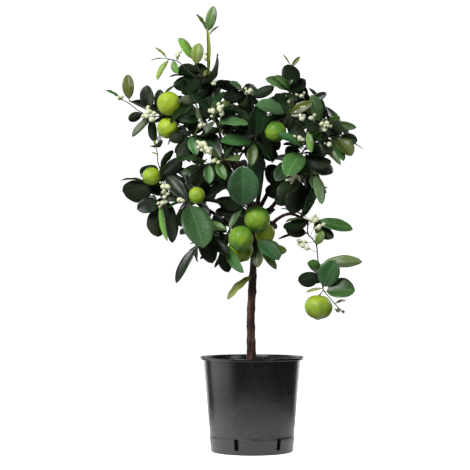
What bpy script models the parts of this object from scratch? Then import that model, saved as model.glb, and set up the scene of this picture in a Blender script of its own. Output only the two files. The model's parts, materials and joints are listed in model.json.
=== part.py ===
"""A small lime tree in a black nursery pot: the pot, the root ball, the trunk, its limbs, the leafy
shoots and the limes. Metres, +Z up, the front towards -Y, the pot's centre at x = y = 0 on z = 0.

Points and sizes in the tables below are in millimetres, and MM turns them into metres.
"""

import math
import random
from collections import namedtuple

import bmesh
import bpy
from mathutils import Matrix, Vector
from mathutils.bvhtree import BVHTree

MM = 0.001
GAP = 0.3  # left between any two pieces that touch

# Pot, in millimetres
POT_HEIGHT = 200.0
RIM_RADIUS = 110.0
RIM_OVERHANG = 6.8
RIM_DEPTH = 5.5
BASE_RADIUS = 86.0
WALL = 1.8
FLOOR = 3.0
STEP_HEIGHT = 32.0
STEP_OUT = 1.4
CORNER_WEB = 10.0
SLOT_COUNT = 6
SLOT_TURN = -22.0
SLOT_WIDTH = 9.5
SLOT_BOTTOM = 7.0
SLOT_TOP = 33.0
SLOT_SLOPE = 7.0
POT_SIDES = 44

# Sides of the round pieces: a tube has four, and two more for each step of its resolution
TRUNK_SIDES = 3
LIMB_SIDES = 1
TWIG_SIDES = 0
LIME_SIDES = 12
LIMB_CUTS = 3
TWIG_CUTS = 2

# Root ball, in millimetres
SOIL_BELOW_RIM = 24.0
SOIL_CROWN = 5.0

# Growth, in millimetres
LEAF_THICKNESS = 0.9
LEAF_CLEARANCE = 0.5
PETIOLE_WIDTH = 1.7
LIMB_START = 5.0
LIMB_END = 2.5
TWIG_START = 2.0
TWIG_TAPER = 0.6
TWIG_LEAST = 0.95
CHILD_SHARE = 0.8
STALK_RADIUS = 1.2
BUD_STALK_RADIUS = 0.6
BUD_STALK_LONGEST = 42.0
FILL_LENGTH = (60.0, 84.0)
FILL_SEED = 11

Branch = namedtuple("Branch", "parent at points")
Leaf = namedtuple("Leaf", "at tip width roll")
Lime = namedtuple("Lime", "centre radius length axis twig at")

TRUNK_POINTS = [
    (-1, 0, 95), (-1, 0, 176), (-2, 0, 245), (-2, 0, 300), (1, 0, 345),
    (3, 0, 392), (6, 1, 440), (9, 3, 490), (12, 5, 530),
]
TRUNK_RADII = [12.0, 11.0, 8.8, 8.4, 8.7, 7.5, 7.2, 6.6, 6.0]

LIMBS = {
    "upper_left": Branch("trunk", 7, [
        (-28, 0, 565), (-62, -5, 622), (-92, -10, 681), (-110, -12, 733), (-108, -12, 776),
    ]),
    "lower_left": Branch("trunk", 6, [
        (-38, -15, 473), (-85, -28, 506), (-134, -38, 536), (-180, -42, 557),
    ]),
    "centre": Branch("trunk", 7.8, [(22, 8, 591), (18, 5, 651), (8, 0, 705), (0, -4, 749)]),
    "upper_right": Branch("trunk", 6.5, [
        (38, -6, 512), (62, -8, 544), (85, -8, 599), (98, -8, 659), (93, -8, 714), (82, -8, 761),
    ]),
    "lower_right": Branch("trunk", 5.6, [(38, -16, 477), (77, -28, 502), (116, -34, 488)]),
    "front": Branch("trunk", 6.2, [(2, -38, 503), (-15, -72, 555), (-34, -92, 600), (-45, -100, 640)]),
    "back_left": Branch("trunk", 6.8, [(-6, 36, 540), (-38, 60, 605), (-66, 72, 672), (-82, 68, 738)]),
    "back_right": Branch("trunk", 7.3, [(40, 36, 560), (74, 58, 618), (98, 70, 680), (100, 66, 738)]),
}

TWIGS = {
    "crown_left": Branch("upper_left", 5, [
        (-95, -14, 800), (-90, -14, 828), (-93, -14, 864), (-96, -16, 900),
    ]),
    "crown_left_inner": Branch("crown_left", 0.4, [(-112, -14, 810), (-128, -14, 836)]),
    "crown_left_arching": Branch("crown_left", 0.9, [
        (-106, -30, 792), (-122, -34, 795), (-136, -32, 806), (-156, -32, 825), (-180, -34, 831),
    ]),
    "left_tip": Branch("upper_left", 3.4, [
        (-149, -38, 703), (-198, -44, 714), (-225, -46, 723), (-259, -44, 740),
    ]),
    "left_tip_lower": Branch("left_tip", 1.7, [
        (-213, -50, 706), (-240, -52, 719), (-258, -52, 733), (-277, -52, 743),
    ]),
    "left_front": Branch("upper_left", 2.9, [(-99, -50, 696), (-110, -78, 712), (-119, -92, 730)]),
    "left_front_lower": Branch("left_front", 0.3, [(-106, -62, 653), (-125, -84, 659), (-142, -92, 666)]),
    "left_outer": Branch("lower_left", 4, [(-199, -52, 562), (-218, -60, 566)]),
    "left_outer_upright": Branch("left_outer", 0.2, [
        (-189, -58, 585), (-197, -60, 607), (-199, -62, 629), (-203, -62, 644),
    ]),
    "left_hanging": Branch("lower_left", 3.5, [(-174, -52, 539), (-189, -58, 529), (-199, -62, 518)]),
    "left_low_front": Branch("lower_left", 2.7, [(-124, -62, 528), (-131, -90, 522)]),
    "left_drop": Branch("lower_left", 2.2, [(-101, -52, 478), (-109, -58, 456), (-113, -60, 436)]),
    "centre_low": Branch("lower_left", 1.1, [(-54, -30, 454), (-58, -40, 431)]),
    "centre_front": Branch("front", 0.9, [(-16, -78, 516), (-20, -108, 509)]),
    "centre_left": Branch("front", 3.2, [(-59, -112, 611), (-80, -120, 603), (-103, -114, 597)]),
    "centre_upper": Branch("front", 4, [(-61, -106, 664), (-76, -110, 687), (-84, -108, 699)]),
    "centre_right": Branch("centre", 3, [(13, -45, 680), (3, -82, 649)]),
    "centre_top": Branch("centre", 4, [(-12, -12, 760), (-24, -16, 766)]),
    "right_top": Branch("upper_right", 6, [(80, -10, 785), (83, -10, 806), (82, -10, 822)]),
    "right_upper_front": Branch("upper_right", 4.9, [(84, -42, 707), (71, -72, 711)]),
    "right_fan_top": Branch("upper_right", 5.4, [(107, -22, 739), (121, -28, 740)]),
    "right_fan": Branch("upper_right", 4.4, [(123, -34, 688), (149, -44, 697), (167, -46, 694)]),
    "right_edge": Branch("upper_right", 3.8, [(130, -28, 655), (158, -34, 664), (183, -38, 664)]),
    "right_front": Branch("upper_right", 2.9, [(102, -52, 625), (114, -80, 644), (116, -90, 675)]),
    "right_low": Branch("upper_right", 2.3, [(96, -40, 569), (123, -58, 583), (140, -60, 583)]),
    "right_arm": Branch("lower_right", 3, [(131, -40, 486)]),
    "right_hanging": Branch("right_arm", 0.15, [
        (117, -42, 461), (127, -46, 448), (135, -48, 435), (138, -50, 404), (144, -52, 379),
        (147, -66, 345), (156, -84, 330), (170, -92, 313), (182, -92, 300),
    ]),
    "trunk_sprout": Branch("trunk", 4.6, [(5, -13, 374)]),
    "low_right": Branch("trunk", 5.4, [(12, -30, 419), (14, -60, 428), (9, -88, 445)]),
}
LEAVES = {
    "crown_left": [
        Leaf(3.7, (-81, -24, 946), 23, 10), Leaf(3.8, (-119, -14, 931), 13, 30),
        Leaf(3.5, (-70, -12, 906), 5, 0), Leaf(0.6, (-90, -34, 812), 17, 0),
        Leaf(1.0, (-95, -20, 900), 9, 25), Leaf(0.2, (-72, -36, 836), 46, -150),
        Leaf(0.1, (-118, -34, 828), 40, 155),
    ],
    "crown_left_inner": [
        Leaf(1.8, (-156, -18, 879), 22, 0), Leaf(1.4, (-113, -8, 868), 27, 0),
        Leaf(0.6, (-65, -30, 807), 46, -150), Leaf(1, (-161, -4, 808), 28, 120),
        Leaf(0.5, (-139, -30, 782), 34, 160), Leaf(0.5, (-168, -20, 774), 34, 155),
    ],
    "crown_left_arching": [
        Leaf(5, (-206, -34, 855), 10, 30), Leaf(5, (-215, -30, 828), 7, 60),
        Leaf(4.8, (-201, -40, 785), 17, 20), Leaf(4.5, (-158, -36, 799), 16, 30),
        Leaf(0.8, (-148, -45, 754), 30, 150), Leaf(1, (-176, -28, 794), 16, 60),
    ],
    "left_tip": [
        Leaf(4, (-262, -46, 796), 25, 0), Leaf(2.6, (-222, -56, 772), 32, -25),
        Leaf(2.0, (-195, -30, 767), 22, 0), Leaf(0.6, (-69, -55, 740), 34, -150),
        Leaf(1.1, (-126, -62, 749), 22, 30),
    ],
    "left_tip_lower": [
        Leaf(4, (-309, -52, 762), 14, 30), Leaf(1.6, (-260, -58, 698), 20, 140),
        Leaf(0.9, (-252, -58, 662), 18, 0), Leaf(1.1, (-235, -44, 688), 11, 100),
        Leaf(0.9, (-205, -56, 651), 21, 160),
    ],
    "left_front": [
        Leaf(3, (-148, -104, 738), 19, -35), Leaf(2.6, (-103, -112, 687), 13, 50),
        Leaf(1.3, (-153, -98, 694), 18, -45), Leaf(2, (-79, -80, 741), 30, -150),
        Leaf(0.8, (-138, -62, 681), 30, 165), Leaf(2.9, (-94, -96, 754), 22, -120),
    ],
    "left_front_lower": [
        Leaf(2.2, (-114, -108, 620), 24, 10), Leaf(3, (-172, -90, 652), 26, 150),
        Leaf(2.2, (-162, -64, 628), 30, 160), Leaf(1.2, (-120, -60, 605), 30, 165),
        Leaf(2.5, (-154, -80, 647), 22, 160), Leaf(0.9, (-83, -84, 632), 22, -150),
        Leaf(2.6, (-150, -60, 606), 32, 160),
    ],
    "left_outer": [
        Leaf(0.9, (-179, -80, 626), 27, 8), Leaf(2, (-275, -58, 571), 15, 65),
        Leaf(1.2, (-271, -80, 547), 52, 165), Leaf(1.5, (-224, -38, 605), 40, 0),
    ],
    "left_outer_upright": [
        Leaf(2.8, (-210, -66, 628), 8, 30), Leaf(4, (-204, -62, 655), 6, 0),
        Leaf(0.8, (-148, -50, 617), 32, -160), Leaf(1.5, (-165, -74, 633), 16, -120),
    ],
    "left_hanging": [
        Leaf(2.4, (-240, -78, 509), 36, -15), Leaf(3, (-197, -78, 451), 41, 165),
        Leaf(2.2, (-176, -92, 442), 16, 40), Leaf(1.4, (-166, -62, 439), 30, -155),
        Leaf(1, (-147, -70, 574), 32, -160),
    ],
    "left_low_front": [
        Leaf(2, (-100, -132, 427), 74, -8), Leaf(1.2, (-161, -84, 550), 32, 150),
        Leaf(0.8, (-91, -74, 569), 30, -160),
    ],
    "left_drop": [
        Leaf(3, (-159, -66, 355), 23, 10), Leaf(2.8, (-115, -56, 399), 13, 50),
        Leaf(2.9, (-131, -52, 438), 10, 60), Leaf(1.5, (-83, -44, 397), 38, -165),
        Leaf(0.9, (-55, -74, 467), 20, 10),
    ],
    "centre_low": [
        Leaf(2, (-50, -50, 378), 36, 165), Leaf(1.7, (-19, -62, 377), 25, 15),
        Leaf(0.7, (-83, -60, 497), 30, 160), Leaf(0.9, (-94, -44, 458), 30, 160),
    ],
    "centre_front": [
        Leaf(2, (-19, -138, 595), 72, 0), Leaf(1, (-48, -100, 466), 17, 20),
        Leaf(1.2, (-59, -95, 524), 32, 160), Leaf(1.4, (-74, -62, 534), 34, 160),
        Leaf(0.6, (-78, -80, 506), 28, 165),
    ],
    "centre_left": [
        Leaf(0.8, (-29, -140, 605), 32, -10), Leaf(2.5, (-89, -134, 558), 23, -10),
        Leaf(1.7, (-55, -138, 566), 21, 10), Leaf(3, (-145, -118, 579), 17, -20),
        Leaf(2.4, (-132, -90, 563), 32, 160), Leaf(1.2, (-77, -96, 568), 30, 155),
    ],
    "centre_upper": [
        Leaf(1.9, (-9, -128, 681), 29, -15), Leaf(2.2, (-96, -118, 663), 17, 20),
        Leaf(1, (-38, -88, 723), 30, -150), Leaf(3, (-108, -90, 726), 28, 150),
        Leaf(2.6, (-59, -80, 734), 18, -150),
    ],
    "centre_right": [
        Leaf(2, (-66, -108, 648), 29, -15), Leaf(2, (-2, -102, 598), 24, 0),
        Leaf(1, (34, -50, 620), 40, -165), Leaf(1.3, (-25, -60, 683), 32, 160),
        Leaf(0.8, (12, -30, 736), 36, 150), Leaf(2, (26, -66, 590), 34, 165),
        Leaf(1.2, (-6, -52, 612), 34, 165), Leaf(0.6, (58, -30, 638), 40, -160),
        Leaf(1.0, (46, -52, 612), 38, -165),
    ],
    "centre_top": [
        Leaf(2, (-74, -24, 779), 24, 110), Leaf(1.6, (-48, -34, 781), 20, 0),
        Leaf(0.4, (48, -16, 774), 24, -150), Leaf(1, (-62, -34, 747), 30, 150),
        Leaf(0.6, (-30, -20, 737), 30, 160),
    ],
    "right_top": [
        Leaf(0.4, (76, -24, 821), 46, 140), Leaf(2.9, (66, -10, 845), 4, 0),
        Leaf(2.6, (103, -10, 840), 9, 20), Leaf(0.3, (87, -34, 786), 14, 0),
        Leaf(0.3, (115, -4, 791), 30, -160), Leaf(0, (28, -38, 788), 25, -20),
        Leaf(0.2, (48, -26, 794), 19, -10),
    ],
    "right_upper_front": [
        Leaf(2, (7, -104, 722), 42, -5), Leaf(1.6, (127, -74, 733), 22, 30),
        Leaf(0.8, (114, -48, 684), 32, -160), Leaf(1.2, (49, -50, 755), 34, 150),
    ],
    "right_fan_top": [
        Leaf(2, (158, -36, 758), 34, 35), Leaf(1, (116, -40, 707), 26, 150),
    ],
    "right_fan": [
        Leaf(1.8, (124, -72, 749), 29, -10), Leaf(2.5, (186, -40, 706), 15, 60),
        Leaf(3, (220, -46, 683), 17, 40), Leaf(1.4, (108, -50, 724), 20, 30),
        Leaf(2.6, (188, -56, 670), 26, -120), Leaf(1, (140, -74, 652), 23, 0),
    ],
    "right_edge": [
        Leaf(3, (223, -38, 656), 25, 40), Leaf(2.7, (210, -54, 623), 36, 0),
        Leaf(2.3, (193, -60, 612), 21, 0), Leaf(3, (236, -30, 640), 4, 0),
        Leaf(1.4, (185, -64, 602), 17, 0), Leaf(1.9, (175, -44, 626), 32, -160),
        Leaf(0.8, (149, -50, 635), 28, -160),
    ],
    "right_front": [
        Leaf(3, (122, -98, 625), 15, 15), Leaf(1.2, (69, -106, 576), 46, -5),
        Leaf(1.6, (49, -100, 664), 24, 0), Leaf(0.8, (165, -74, 606), 34, -165),
        Leaf(2, (76, -60, 693), 32, 160), Leaf(1, (68, -60, 634), 36, 165),
    ],
    "right_low": [
        Leaf(3, (152, -62, 552), 22, 100), Leaf(2.5, (143, -78, 518), 23, 0),
        Leaf(2, (133, -82, 548), 18, 0), Leaf(1.3, (82, -52, 501), 46, 160),
        Leaf(0.8, (66, -64, 541), 26, 150), Leaf(0.4, (39, -50, 586), 36, 165),
        Leaf(0.3, (28, -34, 546), 36, 160), Leaf(0.6, (52, -44, 520), 34, 160),
        Leaf(0.2, (32, -26, 606), 40, 160), Leaf(0.8, (112, -66, 514), 30, 165),
    ],
    "right_arm": [
        Leaf(1, (212, -46, 469), 27, 15), Leaf(0.8, (171, -46, 450), 29, -165),
        Leaf(0.2, (69, -40, 484), 16, 40), Leaf(0.5, (61, -20, 515), 18, 60),
        Leaf(0.4, (64, -52, 470), 26, 160), Leaf(0.2, (48, -24, 506), 26, 160),
    ],
    "right_hanging": [
        Leaf(1, (70, -42, 470), 27, 165), Leaf(1.1, (54, -38, 449), 13, 90),
        Leaf(3, (148, -50, 466), 19, 10), Leaf(5, (114, -72, 398), 28, -15),
        Leaf(5.2, (95, -62, 361), 33, 160), Leaf(6, (172, -84, 403), 45, 10),
        Leaf(4.4, (230, -60, 401), 28, 15), Leaf(6.4, (213, -84, 341), 50, 0),
        Leaf(6, (112, -58, 337), 8, 0), Leaf(8, (196, -58, 320), 7, 0), Leaf(9, (190, -58, 293), 8, 0),
        Leaf(5.2, (128, -36, 364), 24, 160), Leaf(0.3, (82, -36, 490), 24, 160),
    ],
    "trunk_sprout": [
        Leaf(1, (-53, -30, 321), 20, 15),
    ],
    "low_right": [
        Leaf(3, (55, -112, 403), 43, -10), Leaf(2.2, (11, -84, 388), 27, 15),
        Leaf(2.5, (50, -80, 384), 34, 20), Leaf(1.8, (73, -58, 424), 25, 30),
    ],
}

BACK_TWIGS = {
    "back_left_top": Branch("back_left", 4, [(-86, 60, 756), (-84, 48, 776)]),
    "back_left_outer": Branch("back_left", 2.6, [(-105, 72, 690), (-150, 62, 706), (-192, 44, 708)]),
    "back_left_low": Branch("back_left", 1.2, [(-62, 68, 580), (-108, 72, 560), (-150, 58, 532)]),
    "back_centre": Branch("back_left", 1.9, [(-22, 88, 640), (8, 106, 676), (12, 104, 716)]),
    "back_centre_low": Branch("trunk", 6.5, [(4, 45, 482), (0, 84, 488), (-14, 112, 476)]),
    "back_right_top": Branch("back_right", 4, [(98, 56, 752), (92, 44, 766)]),
    "back_right_outer": Branch("back_right", 2.4, [(134, 68, 690), (170, 52, 700)]),
    "back_right_low": Branch("back_right", 1.3, [(98, 66, 600), (128, 60, 575), (146, 50, 556)]),
}
FILL_COUNTS = {
    "back_left_top": 8, "back_left_outer": 13, "back_left_low": 13, "back_centre": 13,
    "back_centre_low": 11, "back_right_top": 7, "back_right_outer": 12, "back_right_low": 13,
    "left_hanging": 4, "left_outer": 4, "left_outer_upright": 2, "right_edge": 4, "right_fan": 4,
    "left_tip": 3, "centre_top": 4, "right_low": 5, "right_fan_top": 3,
    "centre_right": 6, "left_front_lower": 6, "left_drop": 4,
    "right_upper_front": 4, "right_front": 6, "centre_upper": 6, "left_front": 5,
    "centre_left": 5, "centre_low": 4, "left_low_front": 3,
}

# (height, left, right): the outline that the smaller leaves keep inside, and the notch between its two tops
CROWN_EDGES = [
    (395, -95, 45), (450, -145, 55), (500, -200, 105), (540, -235, 115), (565, -240, 150), (610, -215, 150),
    (650, -195, 200), (700, -200, 195), (745, -180, 145), (775, -140, 120), (795, -120, 95),
]
NOTCH_SIDES = (-58.0, 42.0)
NOTCH_TOP = 756.0

LIMES = {
    "upper_left": Lime((-174, -78, 730), 25.0, 50.0, (0.5, 0.3, 0.8), "left_front", 1.4),
    "upper_left_under": Lime((-177, -58, 681), 22.0, 45.0, (0.8, 0.3, 0.5), "left_front_lower", 1.0),
    "left": Lime((-210, -74, 578), 19.0, 39.0, (0.6, 0.7, 0.3), "left_outer", 1.0),
    "left_inner": Lime((-115, -96, 537), 17.0, 37.0, (0.1, 0.4, 0.9), "centre_left", 2.4),
    "right_inner": Lime((48, -72, 672), 23.0, 46.0, (0.7, 0.4, 0.6), "right_upper_front", 0.8),
    "front": Lime((-24, -95, 448), 26.2, 53.0, (-0.1, 0.9, 0.5), "centre_front", 0.7),
    "low": Lime((-25, -40, 426), 26.4, 53.0, (-0.6, 0.2, 0.8), "centre_low", 0.9),
    "centre": Lime((10, -80, 489), 27.0, 56.0, (-0.3, 0.5, 0.8), "centre_front", 0.4),
    "behind": Lime((27, -41, 461), 21.5, 44.0, (-0.2, 0.3, 0.95), "centre_front", 0.5),
    "hanging": Lime((138, -62, 306), 29.3, 51.0, (0.1, 0.1, 1.0), "right_hanging", 6.2),
    "fruitlet": Lime((-56, -95, 725), 8.7, 20.0, (-0.7, -0.2, 0.3), "centre_upper", 2.7),
}

BUDS = [
    (-279, -54, 744), (-217, -70, 713), (-205, -72, 710), (-222, -66, 705), (-210, -70, 697),
    (-194, -74, 693), (-158, -34, 840), (-228, -78, 568), (-185, -84, 556), (-176, -82, 556),
    (-182, -84, 534), (-187, -86, 522), (-150, -100, 527), (-106, -122, 642), (-99, -124, 640),
    (-94, -124, 630), (-89, -124, 623), (-104, -120, 622), (-112, -118, 615), (-91, -128, 601),
    (-80, -128, 605), (-59, -136, 601), (-81, -120, 709), (-68, -120, 715), (-63, -122, 703),
    (-88, -118, 694), (-107, -110, 680), (-10, -30, 758), (-3, -34, 763), (4, -34, 756),
    (11, -30, 762), (-86, -112, 547), (-65, -112, 543), (-81, -38, 778), (-97, -20, 835),
    (73, -50, 763), (104, -50, 749), (83, -56, 742), (121, -70, 728), (102, -66, 724),
    (93, -66, 707), (104, -70, 699), (123, -70, 700), (159, -66, 707), (172, -62, 700),
    (156, -66, 689), (146, -72, 678), (99, -90, 656), (103, -100, 635), (133, -96, 628),
    (161, -66, 645), (112, -100, 622), (81, -90, 571), (88, -92, 578), (150, -84, 593),
    (143, -84, 573), (114, -84, 575), (122, -84, 583), (125, -50, 490), (137, -50, 490),
    (140, -52, 473), (86, -44, 435), (101, -44, 439), (106, -44, 434), (179, -60, 299),
]
BUD_RADIUS = 4.0

FRONT_AND_UP = Vector((0.0, -0.8, 0.6))

# Along a leaf: how far from its base, and how wide there, as shares; 0.0 is the petiole's own width
LEAF_STATIONS = ((0.0, 0.0), (0.13, 0.0), (0.38, 0.96), (0.72, 0.8), (1.0, 0.0))
SMALL_STATIONS = ((0.0, 0.0), (0.13, 0.0), (0.5, 1.0), (1.0, 0.0))
SMALL_LEAF = 18.0
LEAF_FOLD = 0.22
LEAF_ARCH = 0.07
GOLDEN_ANGLE = math.radians(137.5)

# Base colour, roughness, metallic
FINISHES = {
    "pot": ((0.012, 0.012, 0.013), 0.42, 0.0),
    "soil": ((0.035, 0.022, 0.014), 0.95, 0.0),
    "bark": ((0.075, 0.045, 0.035), 0.8, 0.0),
    "leaf": ((0.035, 0.11, 0.022), 0.38, 0.0),
    "lime": ((0.33, 0.47, 0.035), 0.36, 0.0),
    "fruitlet": ((0.11, 0.16, 0.03), 0.45, 0.0),
}


def clear_scene():
    for obj in list(bpy.data.objects):
        bpy.data.objects.remove(obj, do_unlink=True)


def new_collection(name):
    made = bpy.data.collections.new(name)
    bpy.context.scene.collection.children.link(made)
    return made


def material(name, finish):
    made = bpy.data.materials.new(name)
    made.use_nodes = True
    shader = made.node_tree.nodes["Principled BSDF"]
    colour, roughness, metallic = FINISHES[finish]
    shader.inputs["Base Color"].default_value = (*colour, 1.0)
    shader.inputs["Roughness"].default_value = roughness
    shader.inputs["Metallic"].default_value = metallic
    return made


def add_part(name, mesh, finish):
    obj = bpy.data.objects.new(name, mesh)
    mesh.materials.append(material(name, finish))
    PARTS.objects.link(obj)
    return obj


def add_helper(name, mesh):
    obj = bpy.data.objects.new(name, mesh)
    HELPERS.objects.link(obj)
    obj.hide_render = True
    obj.display_type = "WIRE"
    return obj


def cut(obj, cutter):
    modifier = obj.modifiers.new("cut_" + cutter.name, "BOOLEAN")
    modifier.operation = "DIFFERENCE"
    modifier.solver = "EXACT"
    modifier.object = cutter


def join(obj, other):
    modifier = obj.modifiers.new("join_" + other.name, "BOOLEAN")
    modifier.operation = "UNION"
    modifier.solver = "EXACT"
    modifier.use_self = True
    modifier.object = other


def turned(name, profile, finish, sides):
    """A solid turned about Z: the profile is (radius, height) in millimetres."""
    mesh = bpy.data.meshes.new(name)
    points = [(radius * MM, 0.0, height * MM) for radius, height in profile]
    edges = [(i, i + 1) for i in range(len(points) - 1)]
    mesh.from_pydata(points, edges, [])
    obj = add_part(name, mesh, finish)
    screw = obj.modifiers.new("turn", "SCREW")
    screw.steps = sides
    screw.render_steps = sides
    screw.use_merge_vertices = True
    screw.merge_threshold = 0.0001
    screw.use_smooth_shade = False
    return obj


def mesh_of(name, bm):
    mesh = bpy.data.meshes.new(name)
    bmesh.ops.recalc_face_normals(bm, faces=bm.faces)
    bm.to_mesh(mesh)
    bm.free()
    return mesh


# The pot and the root ball

def outer_radius(height):
    share = height / (POT_HEIGHT - RIM_DEPTH)
    return BASE_RADIUS + (RIM_RADIUS - RIM_OVERHANG - BASE_RADIUS) * share


def inner_wall():
    """(radius, height) down the inside of the pot, from under the rim to the middle of its floor."""
    web_top = STEP_HEIGHT + 4.0
    below_rim = POT_HEIGHT - 10.0
    return [
        (outer_radius(below_rim) - WALL, below_rim),
        (outer_radius(web_top) - WALL, web_top),
        (BASE_RADIUS - WALL - CORNER_WEB, FLOOR),
        (0.0, FLOOR),
    ]


def pot_profile():
    inner_rim = RIM_RADIUS - RIM_OVERHANG - WALL
    step = outer_radius(STEP_HEIGHT) + STEP_OUT
    under_rim = POT_HEIGHT - RIM_DEPTH
    outside = [
        (inner_rim + 0.4, POT_HEIGHT - 0.8),
        (inner_rim + 1.2, POT_HEIGHT),
        (RIM_RADIUS - 1.4, POT_HEIGHT),
        (RIM_RADIUS, POT_HEIGHT - 1.4),
        (RIM_RADIUS, under_rim + 1.0),
        (RIM_RADIUS - 1.0, under_rim),
        (outer_radius(under_rim), under_rim),
        (outer_radius(STEP_HEIGHT + 1.0), STEP_HEIGHT + 1.0),
        (step, STEP_HEIGHT),
        (BASE_RADIUS, 2.0),
        (BASE_RADIUS - 1.5, 0.0),
        (0.0, 0.0),
    ]
    return inner_wall()[::-1] + outside


def slot_cutters():
    """One prism for each drainage slot; its sill slopes up towards the inside."""
    inside = BASE_RADIUS - WALL - CORNER_WEB - 4.0
    outside = BASE_RADIUS + 10.0
    half = SLOT_WIDTH / 2
    corners = [
        (outside, -half, SLOT_BOTTOM), (outside, half, SLOT_BOTTOM),
        (inside, half, SLOT_BOTTOM + SLOT_SLOPE), (inside, -half, SLOT_BOTTOM + SLOT_SLOPE),
        (outside, -half, SLOT_TOP), (outside, half, SLOT_TOP),
        (inside, half, SLOT_TOP), (inside, -half, SLOT_TOP),
    ]
    bm = bmesh.new()
    for k in range(SLOT_COUNT):
        turn = Matrix.Rotation(math.radians(-90.0 + SLOT_TURN + 360.0 * k / SLOT_COUNT), 4, "Z")
        made = [bm.verts.new(turn @ Vector(corner) * MM) for corner in corners]
        for ring in ((0, 3, 2, 1), (4, 5, 6, 7), (0, 1, 5, 4), (1, 2, 6, 5), (2, 3, 7, 6), (3, 0, 4, 7)):
            bm.faces.new([made[i] for i in ring])
    return add_helper("slot_cutters", mesh_of("slot_cutters", bm))


def make_pot():
    pot = turned("nursery_pot", pot_profile(), "pot", POT_SIDES)
    cut(pot, slot_cutters())


def make_root_ball(trunk):
    top = POT_HEIGHT - SOIL_BELOW_RIM
    web_top, corner, middle = inner_wall()[1:]
    profile = [
        (0.0, top + SOIL_CROWN), (30.0, top + SOIL_CROWN * 0.8), (70.0, top + SOIL_CROWN * 0.35),
        (outer_radius(top) - WALL - GAP, top),
        (web_top[0] - GAP, web_top[1]),
        (corner[0] - GAP, corner[1] + GAP),
        (0.0, middle[1] + GAP),
    ]
    root_ball = turned("root_ball", profile, "soil", POT_SIDES)
    cut(root_ball, helper_tube("trunk_hole", trunk, GAP, TRUNK_SIDES))


# Stems: a path holds smoothed points and radii in millimetres

Path = namedtuple("Path", "points radii cuts")


def smoothed(points, cuts):
    """A Catmull-Rom curve through the points, with each span in so many cuts."""
    ends = [points[0] * 2 - points[1], *points, points[-1] * 2 - points[-2]]
    made = []
    for a, b, c, d in zip(ends, ends[1:], ends[2:], ends[3:]):
        for k in range(cuts):
            t = k / cuts
            made.append(
                0.5 * ((2 * b) + (c - a) * t + (2 * a - 5 * b + 4 * c - d) * t**2
                       + (3 * b - a - 3 * c + d) * t**3)
            )
    return made + [points[-1]]


def spot(path, at):
    """The point of a path at a station, counted in its chosen points, and the radius there."""
    place = min(max(at * path.cuts, 0.0), len(path.points) - 1.001)
    low = int(place)
    share = place - low
    point = path.points[low].lerp(path.points[low + 1], share)
    return point, path.radii[low] * (1 - share) + path.radii[low + 1] * share


def trunk_path():
    points = smoothed([Vector(p) for p in TRUNK_POINTS], LIMB_CUTS)
    spans = len(TRUNK_RADII) - 1
    radii = []
    for k in range(len(points)):
        place = min(k / LIMB_CUTS, spans - 1e-6)
        share = place - int(place)
        radii.append(TRUNK_RADII[int(place)] * (1 - share) + TRUNK_RADII[int(place) + 1] * share)
    return Path(points, radii, LIMB_CUTS)


def branch_path(branch, parent, start, end, cuts):
    joint, parent_radius = spot(parent, branch.at)
    start = min(start, parent_radius * CHILD_SHARE)
    end = min(max(end, TWIG_LEAST), start)
    points = smoothed([joint, *map(Vector, branch.points)], cuts)
    last = len(points) - 1
    radii = [start + (end - start) * k / last for k in range(len(points))]
    return Path(points, radii, cuts)


def tube_mesh(name, points, radii, sides):
    """A closed tube through the points: a filled curve made into a mesh."""
    curve = bpy.data.curves.new(name, "CURVE")
    curve.dimensions = "3D"
    curve.bevel_depth = MM
    curve.bevel_resolution = sides
    curve.use_fill_caps = True
    spline = curve.splines.new("POLY")
    spline.points.add(len(points) - 1)
    for place, point, radius in zip(spline.points, points, radii):
        place.co = (*(point * MM), 1.0)
        place.radius = radius
    obj = bpy.data.objects.new(name, curve)
    HELPERS.objects.link(obj)
    bpy.context.view_layer.update()
    mesh = bpy.data.meshes.new_from_object(obj.evaluated_get(bpy.context.evaluated_depsgraph_get()))
    bpy.data.objects.remove(obj, do_unlink=True)
    bm = bmesh.new()
    bm.from_mesh(mesh)
    bmesh.ops.remove_doubles(bm, verts=bm.verts, dist=0.00001)
    bpy.data.meshes.remove(mesh)
    return mesh_of(name, bm)


def helper_tube(name, path, extra, sides):
    """The path's tube, thicker and longer by the same amount, as a cutter."""
    points = list(path.points)
    points[0] = points[0] + (points[0] - points[1]).normalized() * extra
    points[-1] = points[-1] + (points[-1] - points[-2]).normalized() * extra
    return add_helper(name, tube_mesh(name, points, [r + extra for r in path.radii], sides))


# What stands already: each thing placed is tested against it

Placed = namedtuple("Placed", "owner kind low high tree")


def tree_of(bm):
    """The search tree of a mesh in metres, and its box, in millimetres."""
    points = [v.co / MM for v in bm.verts]
    for index, vert in enumerate(bm.verts):
        vert.index = index
    tree = BVHTree.FromPolygons(points, [[v.index for v in face.verts] for face in bm.faces])
    low = [min(p[i] for p in points) for i in range(3)]
    high = [max(p[i] for p in points) for i in range(3)]
    return tree, low, high


def place(owner, kind, bm):
    tree, low, high = tree_of(bm)
    STANDING.append(Placed(owner, kind, low, high, tree))


def place_mesh(owner, kind, mesh):
    bm = bmesh.new()
    bm.from_mesh(mesh)
    place(owner, kind, bm)
    bm.free()


def stands_clear(bm, owner, skipped=("stem",)):
    """Whether a shape crosses nothing but the skipped kinds of its own shoot."""
    tree, low, high = tree_of(bm)
    for other in STANDING:
        if other.owner == owner and other.kind in skipped:
            continue
        if any(low[i] > other.high[i] or high[i] < other.low[i] for i in range(3)):
            continue
        if tree.overlap(other.tree):
            return False
    return True


# Leaves

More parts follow.
